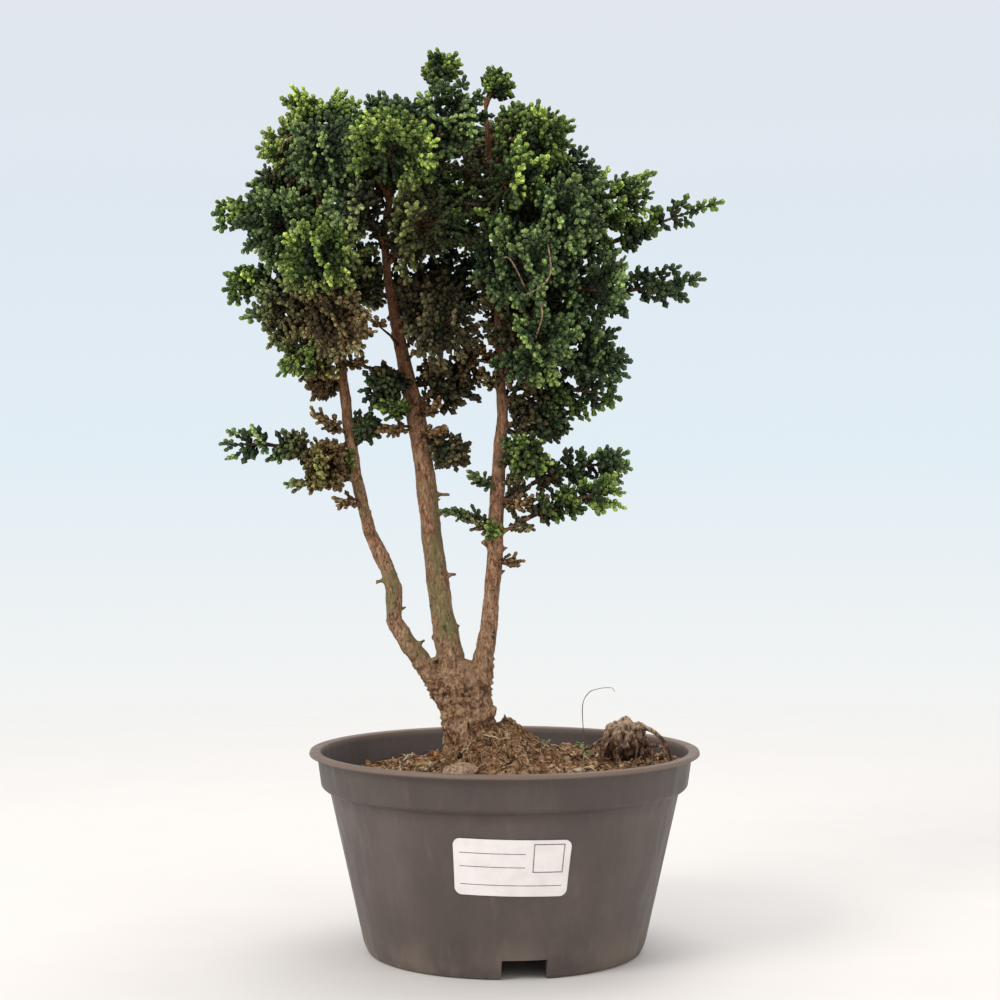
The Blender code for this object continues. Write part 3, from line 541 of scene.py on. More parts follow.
def dress(obj, slot, *nodes):
    """The piece stands for CAD nodes and rides on the one body; the slot is not used."""
    if nodes:
        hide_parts(*nodes)
    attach(obj, "root")
    return obj


def baked(obj, name):
    """A new object with the modifiers of the old one worked into its mesh."""
    bpy.context.view_layer.update()
    shown = obj.evaluated_get(bpy.context.evaluated_depsgraph_get())
    mesh = bpy.data.meshes.new_from_object(shown)
    material = obj.data.materials[0]
    bpy.data.objects.remove(obj)
    return placed(name, mesh, material)


def keep_edges_sharp(obj):
    """Marks the edges that turn by more than an angle, so that they shade sharp."""
    shape = bmesh.new()
    shape.from_mesh(obj.data)
    for edge in shape.edges:
        edge.smooth = len(edge.link_faces) == 2 and edge.calc_face_angle() < math.radians(SHARP_ANGLE_DEG)
    shape.to_mesh(obj.data)
    shape.free()


def ringed_mesh(name, points, steps, rising=False):
    """A closed mesh: a middle point, rings of points and a last middle point, downward or rising."""
    last = len(points) - 1
    faces = []
    for k in range(steps):
        after = (k + 1) % steps
        faces += [(0, 1 + k, 1 + after), (last, last - steps + after, last - steps + k)]
        for low in range(1, last - steps, steps):
            high = low + steps
            faces.append((low + k, high + k, high + after, low + after))
    if rising:
        faces = [face[:1] + face[:0:-1] for face in faces]
    mesh = bpy.data.meshes.new(name)
    mesh.from_pydata(np.array(points) * MM, [], faces)
    return mesh


# Materials


class Nodes:
    """Short calls that build the nodes of one tree."""

    def __init__(self, tree):
        self.tree = tree

    def new(self, kind, sockets=(), **settings):
        """A node with its settings, and with links or constants in its sockets."""
        node = self.tree.nodes.new(kind)
        for name, value in settings.items():
            setattr(node, name, value)
        for name, value in dict(sockets).items():
            self.plug(node.inputs[name], value)
        return node

    def plug(self, socket, value):
        """Links a node's output to a socket, or sets a constant on it."""
        if isinstance(value, bpy.types.NodeSocket):
            self.tree.links.new(value, socket)
        else:
            socket.default_value = value

    def axis(self, name, place):
        """One coordinate of a place."""
        return self.new("ShaderNodeSeparateXYZ", {"Vector": place}).outputs[name]

    def ramp(self, value, stops):
        """Colours for values, from stops (value, colour)."""
        node = self.new("ShaderNodeValToRGB", {"Fac": value})
        marks = node.color_ramp.elements
        while len(marks) < len(stops):
            marks.new(0.5)
        for mark, (place, colour) in zip(marks, stops):
            mark.position = place
            mark.color = (*colour, 1.0)
        return node.outputs["Color"]


class Paint(Nodes):
    """The nodes of one material. Places are in metres, and the sizes of features in millimetres."""

    def __init__(self, name):
        self.material = bpy.data.materials.new(name)
        self.material.use_nodes = True
        super().__init__(self.material.node_tree)
        self.shader = self.tree.nodes["Principled BSDF"]
        self.place = self.new("ShaderNodeTexCoord").outputs["Object"]

    def scaled(self, size, stretch=(1, 1, 1)):
        """The place on the object, counted in features of a size."""
        scale = tuple(1.0 / (size * MM * s) for s in stretch)
        return self.new("ShaderNodeMapping", {"Vector": self.place, "Scale": scale}).outputs["Vector"]

    def noise(self, size, detail=4.0, roughness=0.6, stretch=(1, 1, 1), warp=0.0):
        """Cloudy values round 0.5."""
        sockets = {"Vector": self.scaled(size, stretch), "Scale": 1.0, "Detail": detail,
                   "Roughness": roughness, "Distortion": warp}
        return self.new("ShaderNodeTexNoise", sockets).outputs["Fac"]

    def cells(self, size):
        """Distances in a pattern of uneven cells."""
        sockets = {"Vector": self.scaled(size), "Scale": 1.0}
        return self.new("ShaderNodeTexVoronoi", sockets).outputs["Distance"]

    def tint(self):
        return self.new("ShaderNodeVertexColor", layer_name="tint").outputs["Color"]

    def between(self, value, low, high, out_low=0.0, out_high=1.0):
        """Carries a value from one range to another, smoothly and clamped."""
        sockets = {"Value": value, "From Min": low, "From Max": high, "To Min": out_low, "To Max": out_high}
        return self.new("ShaderNodeMapRange", sockets, interpolation_type="SMOOTHSTEP").outputs["Result"]

    def mix(self, share, low, high, how="MIX"):
        node = self.new("ShaderNodeMix", {"Factor": share}, data_type="RGBA", blend_type=how)
        for socket, value in zip([s for s in node.inputs if s.type == "RGBA"], [low, high]):
            self.plug(socket, (*value, 1.0) if isinstance(value, tuple) else value)
        return [s for s in node.outputs if s.type == "RGBA"][0]

    def coats(self, colour, rows):
        """Colours laid over a colour: (value, where a coat starts and is full, how strong, its colour)."""
        for value, start, full, most, coat in rows:
            colour = self.mix(self.between(value, start, full, 0.0, most), colour, coat)
        return colour

    def calc(self, how, first, second):
        return self.new("ShaderNodeMath", {0: first, 1: second}, operation=how).outputs["Value"]

    def times(self, first, *others):
        for other in others:
            first = self.calc("MULTIPLY", first, other)
        return first

    def bump(self, height, depth, under=None):
        """Relief of a depth in millimetres."""
        node = self.new("ShaderNodeBump", {"Height": height, "Distance": depth * MM})
        if under is not None:
            self.plug(node.inputs["Normal"], under)
        return node.outputs["Normal"]

    def finish(self, colour, roughness, normal, gloss=0.5):
        sockets = {"Base Color": colour, "Roughness": roughness, "Normal": normal,
                   "Specular IOR Level": gloss}
        for name, value in sockets.items():
            self.plug(self.shader.inputs[name], value)
        return self.material


def pot_plastic():
    """Dark grey plastic with dust in streaks, scuffed, darker from near the wall's top upward, with painted
    warm light and some dust on the rim's top.
    """
    paint = Paint("pot_plastic")
    height = paint.axis("Z", paint.place)
    cloud = paint.noise(34.0, 5.0, 0.62, (1, 1, 1.6))
    streaks = paint.noise(5.0, 4.0, 0.6, (1, 1, 14))
    speck = paint.noise(0.9, 3.0, 0.7)
    scuffs = paint.noise(2.2, 5.0, 0.75, (4.0, 4.0, 0.25), 0.4)
    body = paint.ramp(cloud, [(0.3, (0.078, 0.059, 0.05)), (0.52, (0.094, 0.071, 0.061)),
                              (0.72, (0.118, 0.09, 0.077))])
    # Coats: darker from near the wall's top upward, paler dust in streaks, and painted warm light with some
    # dust on the rim's top.
    dust_and_rim_light = paint.coats(body, [
        (height, 0.068, 0.073, 0.35, (0.05, 0.036, 0.032)),
        (streaks, 0.5, 0.8, 0.22, (0.225, 0.176, 0.136)),
        (height, 0.0885, 0.0915, 0.4, (0.33, 0.215, 0.14)),
    ])
    foot = paint.times(paint.between(height, 0.0, 0.022, 0.45, 0.0), paint.between(cloud, 0.35, 0.6))
    worn_and_rim_lit = paint.coats(paint.mix(foot, dust_and_rim_light, (0.235, 0.18, 0.135)), [
        (scuffs, 0.66, 0.74, 0.35, (0.235, 0.215, 0.195)),
        (speck, 0.68, 0.74, 0.5, (0.27, 0.24, 0.205)),
    ])
    relief = paint.bump(scuffs, 0.05, paint.bump(paint.noise(0.35, 2.0, 0.5), 0.03))
    relief = paint.bump(paint.noise(22.0, 2.0, 0.5, (1, 1, 2.5)), 0.5, relief)
    return paint.finish(worn_and_rim_lit, paint.between(streaks, 0.3, 0.75, 0.42, 0.66), relief, 0.38)


def label_paper():
    """Off-white paper with a little dirt, three ruled lines and an empty box."""
    paint = Paint("label_paper")
    spot = paint.new("ShaderNodeUVMap", uv_map="UVMap").outputs["UV"]
    across, up = paint.axis("X", spot), paint.axis("Y", spot)

    def bar(left, right, low, high):
        """1 inside a rectangle on the label, in millimetres from its lower left corner."""
        return paint.times(paint.calc("GREATER_THAN", across, left / LABEL_WIDTH),
                           paint.calc("LESS_THAN", across, right / LABEL_WIDTH),
                           paint.calc("GREATER_THAN", up, low / LABEL_HEIGHT),
                           paint.calc("LESS_THAN", up, high / LABEL_HEIGHT))

    outside, inside, *lines = [bar(*edges) for edges in LABEL_MARKS]
    ink = paint.calc("SUBTRACT", outside, inside)
    for line in lines:
        ink = paint.calc("ADD", ink, line)
    fibre = paint.noise(0.5, 3.0, 0.6)
    paper = paint.ramp(paint.noise(9.0, 4.0, 0.6), [(0.3, (0.8, 0.735, 0.69)), (0.6, (0.88, 0.82, 0.775))])
    patchy = paint.times(ink, paint.between(fibre, 0.3, 0.55, 0.55, 0.9))
    inked = paint.mix(patchy, paper, (0.06, 0.055, 0.055))
    grime = paint.coats(inked, [(paint.noise(1.6, 5.0, 0.7), 0.64, 0.74, 0.35, (0.42, 0.34, 0.27))])
    return paint.finish(grime, paint.between(fibre, 0.3, 0.7, 0.38, 0.55), paint.bump(fibre, 0.02))


def soil_mix(name, tinted):
    """Potting mix: dark crumbs, paler fibre and a few dry bits."""
    paint = Paint(name)
    grain = paint.noise(1.8, 7.0, 0.78)
    base = paint.tint() if tinted else paint.ramp(paint.noise(4.0, 7.0, 0.78), [
        (0.33, (0.018, 0.007, 0.003)), (0.44, (0.14, 0.063, 0.026)), (0.54, (0.39, 0.212, 0.102)),
        (0.65, (0.7, 0.47, 0.275))])
    dark = paint.mix(paint.between(grain, 0.36, 0.5, 0.92, 0.0), base, (0.012, 0.007, 0.004))
    pale = paint.coats(dark, [(grain, 0.55, 0.66, 0.75, (0.76, 0.52, 0.32))])
    relief = paint.bump(grain, 1.1, paint.bump(paint.cells(1.5), 0.6))
    return paint.finish(pale, paint.between(grain, 0.3, 0.7, 0.78, 0.95), relief, 0.2)


def stem_bark():
    """Thin fibrous bark: grey-brown and flaky low down, mossy on the stems, redder in the crown and painted
    lighter there to make up for the crown's shade.
    """
    paint = Paint("stem_bark")
    height = paint.axis("Z", paint.place)
    fibres = paint.noise(1.2, 6.0, 0.72, (1, 1, 2.8), 0.8)
    strips = paint.noise(2.6, 5.0, 0.68, (1, 1, 2.0), 1.0)
    flakes = paint.noise(2.8, 7.0, 0.74, (1, 1, 1.4), 0.9)
    spots = paint.noise(3.4, 3.0, 0.6, (1, 1, 1.3), 0.5)
    patch = paint.noise(11.0, 4.0, 0.6, (1, 1, 2))
    trunk = paint.ramp(flakes, [(0.34, (0.024, 0.01, 0.005)), (0.42, (0.2, 0.092, 0.04)),
                                (0.49, (0.52, 0.285, 0.145)), (0.57, (0.78, 0.48, 0.28)),
                                (0.67, (0.9, 0.66, 0.45))])
    low = paint.ramp(fibres, [(0.31, (0.046, 0.021, 0.01)), (0.41, (0.215, 0.108, 0.05)),
                              (0.51, (0.48, 0.27, 0.145)), (0.66, (0.74, 0.5, 0.32))])
    high = paint.ramp(fibres, [(0.31, (0.072, 0.027, 0.012)), (0.42, (0.245, 0.112, 0.054)),
                               (0.53, (0.465, 0.24, 0.13)), (0.68, (0.72, 0.45, 0.28))])
    # The crown's bark: redder, and painted lighter to make up for the crown's shade.
    crown = paint.ramp(fibres, [(0.3, (0.11, 0.04, 0.017)), (0.5, (0.38, 0.165, 0.075)),
                                (0.7, (0.62, 0.32, 0.16))])
    colour = paint.coats(trunk, [(height, 0.112, 0.142, 1.0, low), (height, 0.13, 0.21, 1.0, high),
                                 (height, 0.235, 0.3, 1.0, crown)])
    mossy = paint.times(paint.between(height, 0.126, 0.142), paint.between(height, 0.235, 0.19),
                        paint.between(paint.axis("X", paint.place), -0.01, -0.022),
                        paint.between(patch, 0.42, 0.58, 0.0, 0.85),
                        paint.between(flakes, 0.4, 0.54, 0.25, 1.0))
    colour = paint.coats(paint.mix(mossy, colour, (0.235, 0.225, 0.085)), [
        (spots, 0.6, 0.66, 0.45, (0.27, 0.09, 0.05)),
        (strips, 0.6, 0.72, 0.6, (0.64, 0.44, 0.29)),
        (strips, 0.44, 0.34, 0.8, (0.04, 0.02, 0.011)),
    ])
    plates = paint.bump(paint.times(flakes, paint.between(height, 0.142, 0.112)), 2.4)
    relief = paint.bump(strips, 2.4, paint.bump(fibres, 1.6, plates))
    return paint.finish(colour, paint.between(fibres, 0.3, 0.7, 0.7, 0.9), relief, 0.25)


def root_bark():
    """Old root wood: dark grey-brown, darker in its creases."""
    paint = Paint("root_bark")
    fibres = paint.noise(1.6, 6.0, 0.7, (1, 1, 3), 0.8)
    patch = paint.noise(6.0, 4.0, 0.65)
    colour = paint.ramp(fibres, [(0.34, (0.014, 0.006, 0.003)), (0.45, (0.07, 0.034, 0.017)),
                                 (0.56, (0.21, 0.118, 0.066)), (0.68, (0.56, 0.385, 0.255))])
    crest = paint.times(paint.between(paint.axis("Z", paint.place), 0.093, 0.103, 0.0, 0.85),
                        paint.between(fibres, 0.38, 0.56))
    colour = paint.mix(crest, colour, (0.56, 0.375, 0.245))
    # Darker in the creases of the relief.
    colour = paint.coats(colour, [(patch, 0.44, 0.32, 0.85, (0.022, 0.012, 0.008))])
    relief = paint.bump(patch, 1.6, paint.bump(fibres, 1.2))
    return paint.finish(colour, paint.between(fibres, 0.3, 0.7, 0.74, 0.92), relief, 0.25)


def pebble_stone():
    paint = Paint("pebble_stone")
    grain = paint.noise(1.2, 6.0, 0.7)
    colour = paint.ramp(grain, [(0.34, (0.11, 0.058, 0.03)), (0.46, (0.33, 0.2, 0.112)),
                                (0.58, (0.52, 0.35, 0.215)), (0.7, (0.7, 0.52, 0.35))])
    relief = paint.bump(grain, 1.0, paint.bump(paint.cells(3.0), 0.9))
    return paint.finish(colour, paint.between(grain, 0.3, 0.7, 0.6, 0.85), relief)


def chip_bark():
    paint = Paint("chip_bark")
    grain = paint.noise(1.1, 5.0, 0.7, (3, 1, 1))
    colour = paint.ramp(grain, [(0.3, (0.11, 0.04, 0.014)), (0.52, (0.33, 0.13, 0.045)),
                                (0.74, (0.52, 0.26, 0.11))])
    return paint.finish(colour, paint.between(grain, 0.3, 0.7, 0.65, 0.88), paint.bump(grain, 0.6))


def foliage(tone):
    """Scale leaves pressed on their twigs: the sprays' colours with their painted light and shade, painted
    shade at the edge of each scale leaf and painted light at its middle.
    """
    paint = Paint(f"foliage_{tone}")
    cloud = paint.between(paint.noise(9.0, 3.0, 0.6), 0.3, 0.7, 0.72, 1.28)
    # Painted shade at the edge of each scale leaf and painted light at its middle; the same pattern makes the
    # relief.
    scale_shading = paint.between(paint.cells(SCALE_SIZE), 0.12, 0.68, 1.85, 0.6)
    colour = paint.mix(1.0, paint.tint(), paint.times(cloud, scale_shading), "MULTIPLY")
    rough = paint.between(paint.noise(2.5, 2.0, 0.5), 0.3, 0.7, 0.5, 0.72)
    return paint.finish(colour, rough, paint.bump(scale_shading, 0.3), 0.22)


def seedling_green():
    paint = Paint("seedling_green")
    veins = paint.noise(0.7, 3.0, 0.6, (1, 1, 3))
    colour = paint.coats(paint.tint(), [(veins, 0.45, 0.7, 0.4, (0.42, 0.5, 0.18))])
    return paint.finish(colour, paint.between(veins, 0.3, 0.7, 0.45, 0.62), paint.bump(veins, 0.08))


# The pot and its label


def wall_radius(z):
    """The outer radius of the wall under the band."""
    share = (z - WALL_FOOT_Z) / (POT_HEIGHT - BAND_HEIGHT - STEP_HEIGHT - WALL_FOOT_Z)
    return WALL_FOOT_RADIUS + share * (WALL_TOP_RADIUS - WALL_FOOT_RADIUS)


def pot_profile():
    """(radius, height, corner radius) from the middle of the floor, over the rim, to the underside."""
    floor_top = CHANNEL_HEIGHT + FLOOR_THICKNESS
    band_foot = POT_HEIGHT - BAND_HEIGHT
    step_foot = band_foot - STEP_HEIGHT
    inner_ring = FOOT_RING_RADIUS - FOOT_RING_WIDTH
    return [
        (0.0, FLOOR_THICKNESS, 0.0),
        (CENTRE_FOOT_RADIUS - 3.0, FLOOR_THICKNESS, 1.0),
        (CENTRE_FOOT_RADIUS - 1.0, floor_top, 1.0),
        (wall_radius(floor_top) - WALL_THICKNESS, floor_top, 2.5),
        (WALL_TOP_RADIUS - WALL_THICKNESS, step_foot, 1.0),
        (BAND_FOOT_RADIUS - WALL_THICKNESS, band_foot + 0.4, 1.0),
        (BAND_TOP_RADIUS - WALL_THICKNESS, POT_HEIGHT - 0.5, 0.4),
        (BAND_TOP_RADIUS - 0.9, POT_HEIGHT, 0.4),
        (RIM_RADIUS - 0.4, POT_HEIGHT, 0.5),
        (RIM_RADIUS, POT_HEIGHT - LIP_THICKNESS, 0.5),
        (BAND_TOP_RADIUS, POT_HEIGHT - LIP_THICKNESS - 0.4, 0.9),
        (BAND_FOOT_RADIUS, band_foot + 1.2, 0.8),
        (BAND_FOOT_RADIUS - 1.2, band_foot, 0.5),
        (WALL_TOP_RADIUS, step_foot, 1.0),
        (WALL_FOOT_RADIUS, WALL_FOOT_Z, 2.0),
        (FOOT_RING_RADIUS, 0.0, 0.7),
        (inner_ring, 0.0, 0.4),
        (inner_ring - 0.4, CHANNEL_HEIGHT, 1.0),
        (CENTRE_FOOT_RADIUS + 1.0, CHANNEL_HEIGHT, 1.0),
        (CENTRE_FOOT_RADIUS, 0.0, 0.6),
        (0.0, 0.0, 0.0),
    ]


def rounded(profile):
    """The profile with its corners cut to short curves."""
    path = [Vector(profile[0][:2])]
    for (x0, z0, _), (x, z, radius), (x1, z1, _) in zip(profile, profile[1:], profile[2:]):
        before, corner, after = Vector((x0, z0)), Vector((x, z)), Vector((x1, z1))
        cut = min(radius, 0.45 * (before - corner).length, 0.45 * (after - corner).length)
        start = corner + (before - corner).normalized() * cut
        end = corner + (after - corner).normalized() * cut
        for share in (k / CORNER_STEPS for k in range(CORNER_STEPS + 1)):
            path.append(start.lerp(corner, share).lerp(corner.lerp(end, share), share))
    return path + [Vector(profile[-1][:2])]


def cutter(outline, low, high, radius, angle, spin):
    """A prism for cutting: an outline in plan, spun and moved, from one height to another."""
    middle = (radius * math.sin(angle), -radius * math.cos(angle))
    points = []
    for z in (low, high):
        for spot in (Vector((x, y, 0.0)) for x, y in outline):
            spot.rotate(Euler((0.0, 0.0, spin)))
            points.append(((middle[0] + spot.x) * MM, (middle[1] + spot.y) * MM, z * MM))
    count = len(outline)
    faces = [tuple(reversed(range(count))), tuple(range(count, 2 * count))]
    faces += [(k, (k + 1) % count, count + (k + 1) % count, count + k) for k in range(count)]
    mesh = bpy.data.meshes.new("cutter")
    mesh.from_pydata(points, [], faces)
    return bpy.data.objects.new("cutter", mesh)


def pot_cutters():
    """What cuts the notches in the foot and the drain holes in the floor."""
    half, deep = NOTCH_WIDTH / 2, NOTCH_DEPTH / 2
    square = [(-half, -deep), (half, -deep), (half, deep), (-half, deep)]
    tools = []
    for number in range(NOTCH_COUNT):
        angle = math.radians(FRONT_NOTCH_DEG) + number * 2 * math.pi / NOTCH_COUNT
        tools.append(cutter(square, -2.0, CHANNEL_HEIGHT - 0.3, FOOT_RING_RADIUS, angle, angle))
    hole = circle(DRAIN_HOLE_RADIUS, DRAIN_HOLE_SIDES)
    low, high = CHANNEL_HEIGHT - 2.0, CHANNEL_HEIGHT + FLOOR_THICKNESS + 2.0
    for number in range(DRAIN_HOLE_COUNT):
        angle = math.radians(FIRST_HOLE_DEG) + number * 2 * math.pi / DRAIN_HOLE_COUNT
        tools.append(cutter(hole, low, high, DRAIN_HOLE_PLACE, angle, 0.0))
    return tools


def build_pot():
    first, *path, last = rounded(pot_profile())
    points = [(*spot, place.y) for place in path for spot in circle(place.x, POT_STEPS)]
    points = [(0.0, 0.0, first.y)] + points + [(0.0, 0.0, last.y)]
    pot = placed("pot_shell", ringed_mesh("turned", points, POT_STEPS), pot_plastic())
    group = bpy.data.collections.new("pot_cutters")
    bpy.context.scene.collection.children.link(group)
    for tool in pot_cutters():
        group.objects.link(tool)
    cut = pot.modifiers.new("cut", "BOOLEAN")
    cut.operation = "DIFFERENCE"
    cut.operand_type = "COLLECTION"
    cut.collection = group
    cut.solver = "EXACT"
    pot = baked(pot, "pot_shell")
    for tool in list(group.objects):
        bpy.data.objects.remove(tool)
    bpy.data.collections.remove(group)
    keep_edges_sharp(pot)
    return dress(pot, "pot", "pot")


def label_row(share):
    """(sideways, half height) of the label at a share of its width."""
    sideways = LABEL_WIDTH * (share - 0.5)
    into = min(max(0.0, abs(sideways) - LABEL_WIDTH / 2 + LABEL_CORNER), LABEL_CORNER)
    return sideways, LABEL_HEIGHT / 2 - LABEL_CORNER + math.sqrt(LABEL_CORNER ** 2 - into ** 2)


def label_point(s, t):
    """The place on the wall that the label's own point (s, t) covers."""
    turn = math.radians(LABEL_TURN_DEG)
    sideways = s * math.cos(turn) + t * math.sin(turn) + LABEL_SIDE_SHIFT
    z = LABEL_MIDDLE_Z - s * math.sin(turn) + t * math.cos(turn)
    lift = LABEL_LIFT * max(0.0, (abs(s) + abs(t)) / (LABEL_WIDTH / 2 + LABEL_HEIGHT / 2) - 0.8) / 0.2
    radius = wall_radius(z) + LABEL_GAP + LABEL_THICKNESS / 2 + lift
    x, y = polar(radius, sideways / wall_radius(LABEL_MIDDLE_Z) - math.pi / 2)
    return x * MM, y * MM, z * MM


def build_label():
    """A paper label with round corners, bent round the tapered wall."""
    points, places, faces = [], [], []
    for k in range(LABEL_COLUMNS + 1):
        s, half = label_row(0.5 - 0.5 * math.cos(math.pi * k / LABEL_COLUMNS))
        for j in range(LABEL_ROWS + 1):
            t = half * (2 * j / LABEL_ROWS - 1)
            points.append(label_point(s, t))
            places.append((s / LABEL_WIDTH + 0.5, t / LABEL_HEIGHT + 0.5))
            if k < LABEL_COLUMNS and j < LABEL_ROWS:
                low, step = len(points) - 1, LABEL_ROWS + 1
                faces.append((low, low + step, low + step + 1, low + 1))
    mesh = bpy.data.meshes.new("paper_label")
    mesh.from_pydata(points, [], faces)
    layer = mesh.uv_layers.new(name="UVMap")
    for loop in mesh.loops:
        layer.data[loop.index].uv = places[loop.vertex_index]
    label = placed("paper_label", mesh, label_paper())
    sheet = label.modifiers.new("thickness", "SOLIDIFY")
    sheet.thickness = LABEL_THICKNESS * MM
    sheet.offset = 0.0
    label = baked(label, "paper_label")
    keep_edges_sharp(label)
    return dress(label, "label", "label")


# The soil and what lies in it


def soil_height(x, y):
    """The height of the soil's lumpy surface, as the solid has it."""
    across = (x - MOUND_MIDDLE[0]) / MOUND_REACH[0]
    deep = (y - MOUND_MIDDLE[1]) / MOUND_REACH[1]
    mound = math.exp(-across ** 2 - deep ** 2)
    lumps = 1.1 * math.sin(0.21 * x + 1.0) * math.cos(0.19 * y + 0.4) + 0.7 * math.sin(0.43 * x - 0.37 * y)
    return SOIL_LEVEL + SOIL_SLOPE * x + MOUND_HEIGHT * mound + lumps


def on_soil(x, y, above=0.0):
    """A place on the soil's surface with its clods and grains, or a little above it."""
    clods = noise.fractal(Vector((x * 0.16, y * 0.16, 3.0)), 1.0, 2.0, 4)
    grains = noise.noise(Vector((x * 0.8, y * 0.8, 7.0)))
    return x, y, soil_height(x, y) + CLOD_HEIGHT * clods + GRAIN_HEIGHT * grains + above


def build_soil():
    """A closed bed with a fine surface; its side follows the pot's wall."""
    points = [(0.0, 0.0, SOIL_SIDE[0][1])]
    for radius, z in SOIL_SIDE:
        points += [(*spot, z) for spot in circle(radius, SOIL_SECTORS)]
    for ring in range(SOIL_RINGS):
        radius = SOIL_SIDE[-1][0] * (1 - ring / SOIL_RINGS)
        points += [on_soil(*spot) for spot in circle(radius, SOIL_SECTORS)]
    points.append(on_soil(0.0, 0.0))
    mesh = ringed_mesh("soil_bed", points, SOIL_SECTORS, rising=True)
    return dress(placed("soil_bed", mesh, soil_mix("soil_mix", False)), "soil", "soil")


def from_trunk(x, y):
    return math.hypot(x - TRUNK_MIDDLE[0], y - TRUNK_MIDDLE[1])


def soil_spot(draw):
    """A random place on the soil, clear of the trunk."""
    while True:
        radius = (SOIL_RADIUS - LITTER_MARGIN) * math.sqrt(draw.random())
        x, y = polar(radius, draw.uniform(0, 2 * math.pi))
        if from_trunk(x, y) > TRUNK_RADIUS:
            return x, y


def tumbled(draw):
    return Euler((draw.uniform(0, 3), draw.uniform(0, 3), draw.uniform(0, 3)))


def add_fibre(litter, start, heading, length, thick, tint, draw, lift):
    """A thin curved fibre that lies on the soil."""
    route, radii = [], []
    x, y = start
    bend = draw.uniform(-0.35, 0.35)
    for k in range(FIBRE_STEPS + 1):
        share = k / FIBRE_STEPS
        rise = thick * 0.6 + lift * math.sin(math.pi * share) * length * 0.25
        route.append(on_soil(x, y, rise))
        radii.append(max(0.12, thick * (1.0 - 0.6 * abs(2 * share - 1)) / 2))
        x += math.cos(heading) * length / FIBRE_STEPS
        y += math.sin(heading) * length / FIBRE_STEPS
        heading += bend
        if math.hypot(x, y) > SOIL_RADIUS - 1.5:
            break
    if len(route) > 2:
        litter.tube(route, radii, 5, tint)


def build_litter():
    """Loose crumbs and fibres on the soil, and the fibrous mat round the trunk."""
    draw = random.Random(31)
    litter = Shape()
    for _ in range(CRUMB_COUNT):
        x, y = soil_spot(draw)
        size = draw.uniform(*(SMALL_CRUMBS if draw.random() < SMALL_CRUMB_SHARE else LARGE_CRUMBS))
        turn = tumbled(draw)
        tint = draw.choice(LITTER_TINTS)
        sizes = (size, size * draw.uniform(0.5, 1.0), size * draw.uniform(0.4, 0.8))
        litter.crumb(on_soil(x, y, size * 0.2), sizes, tint, draw, turn)
    for x, y, size in ORANGE_BITS:
        sizes = (size, size * 0.7, size * 0.5)
        litter.crumb(on_soil(x, y, size * 0.3), sizes, ORANGE, draw, tumbled(draw))
    for _ in range(FIBRE_COUNT):
        start = soil_spot(draw)
        thick = draw.uniform(0.35, 0.9)
        add_fibre(litter, start, draw.uniform(0, 2 * math.pi), draw.uniform(*FIBRE_LENGTHS), thick,
                  draw.choice(LITTER_TINTS), draw, draw.uniform(0.0, 0.35))
    for _ in range(MAT_COUNT):
        angle = draw.uniform(0, 2 * math.pi)
        reach = draw.uniform(0.1, 1.15)
        start = (MOUND_MIDDLE[0] + reach * MOUND_REACH[0] * math.cos(angle),
                 MOUND_MIDDLE[1] + reach * MOUND_REACH[1] * math.sin(angle))
        if from_trunk(*start) >= TRUNK_RADIUS - 2.0:
            add_fibre(litter, start, draw.uniform(0, 2 * math.pi), draw.uniform(*MAT_LENGTHS),
                      draw.uniform(0.25, 0.55), draw.choice(MAT_TINTS), draw, draw.uniform(0.0, 0.5))
    return dress(litter.object("soil_litter", soil_mix("soil_litter_mix", True)), "soil")


def build_threads(name, routes, taper, sides, tint, material):
    """Thin roots or twigs on routes (points, radius); to the tip they lose a share of their radius."""
    threads = Shape()
    for route, radius in routes:
        route = smooth_route(route)
        radii = [radius * (1.0 - taper * k / (len(route) - 1)) for k in range(len(route))]
        threads.tube(route, radii, sides, tint)
    return dress(threads.object(name, material), "root_bark")


def build_sprouts():
    """A few seedlings: pale stalks with small leaves."""
    draw = random.Random(8)
    sprouts = Shape()
    leaves = Leaves(FULL_LEAF)
    for x, y, height, count in SPROUTS:
        ground = on_soil(x, y)[2]
        for _ in range(count):
            top = Vector((x + draw.uniform(-4, 4), y + draw.uniform(-3, 3),
                          ground + height * draw.uniform(0.6, 1.0)))
            foot = Vector((x + draw.uniform(-1, 1), y, ground - 1.0))
            bend = (foot + top) / 2 + Vector((draw.uniform(-1.5, 1.5), 0.0, 1.0))
            sprouts.tube([foot, bend, top], [0.28, 0.24, 0.2], 5, SPROUT_STALK)
            for side in (-1, 1):
                direction = Vector((side, draw.uniform(-0.6, 0.6), 0.35)).normalized()
                leaves.add(top, direction, squared(UP, direction), SPROUT_LEAF, *SPROUT_GREENS)
    leaves.pour_into(sprouts)
    return dress(sprouts.object("sprouts", seedling_green()), "foliage_fresh")


# The wood


def bark_stretch(z):
    """How long the bark's plates are for their width: squat on the trunk, long up the stems."""
    return 1.1 + 1.5 * eased(z - TRUNK_TOP, 24.0)


def bark_depth(z):
    """How deep the bark's relief is: coarse on the trunk, fine up the stems."""
    if z < TRUNK_TOP:
        return 2.1
    return max(0.28, 2.1 - 1.3 * eased(z - TRUNK_TOP, 16.0) - max(z - 132.0, 0.0) / 260.0)


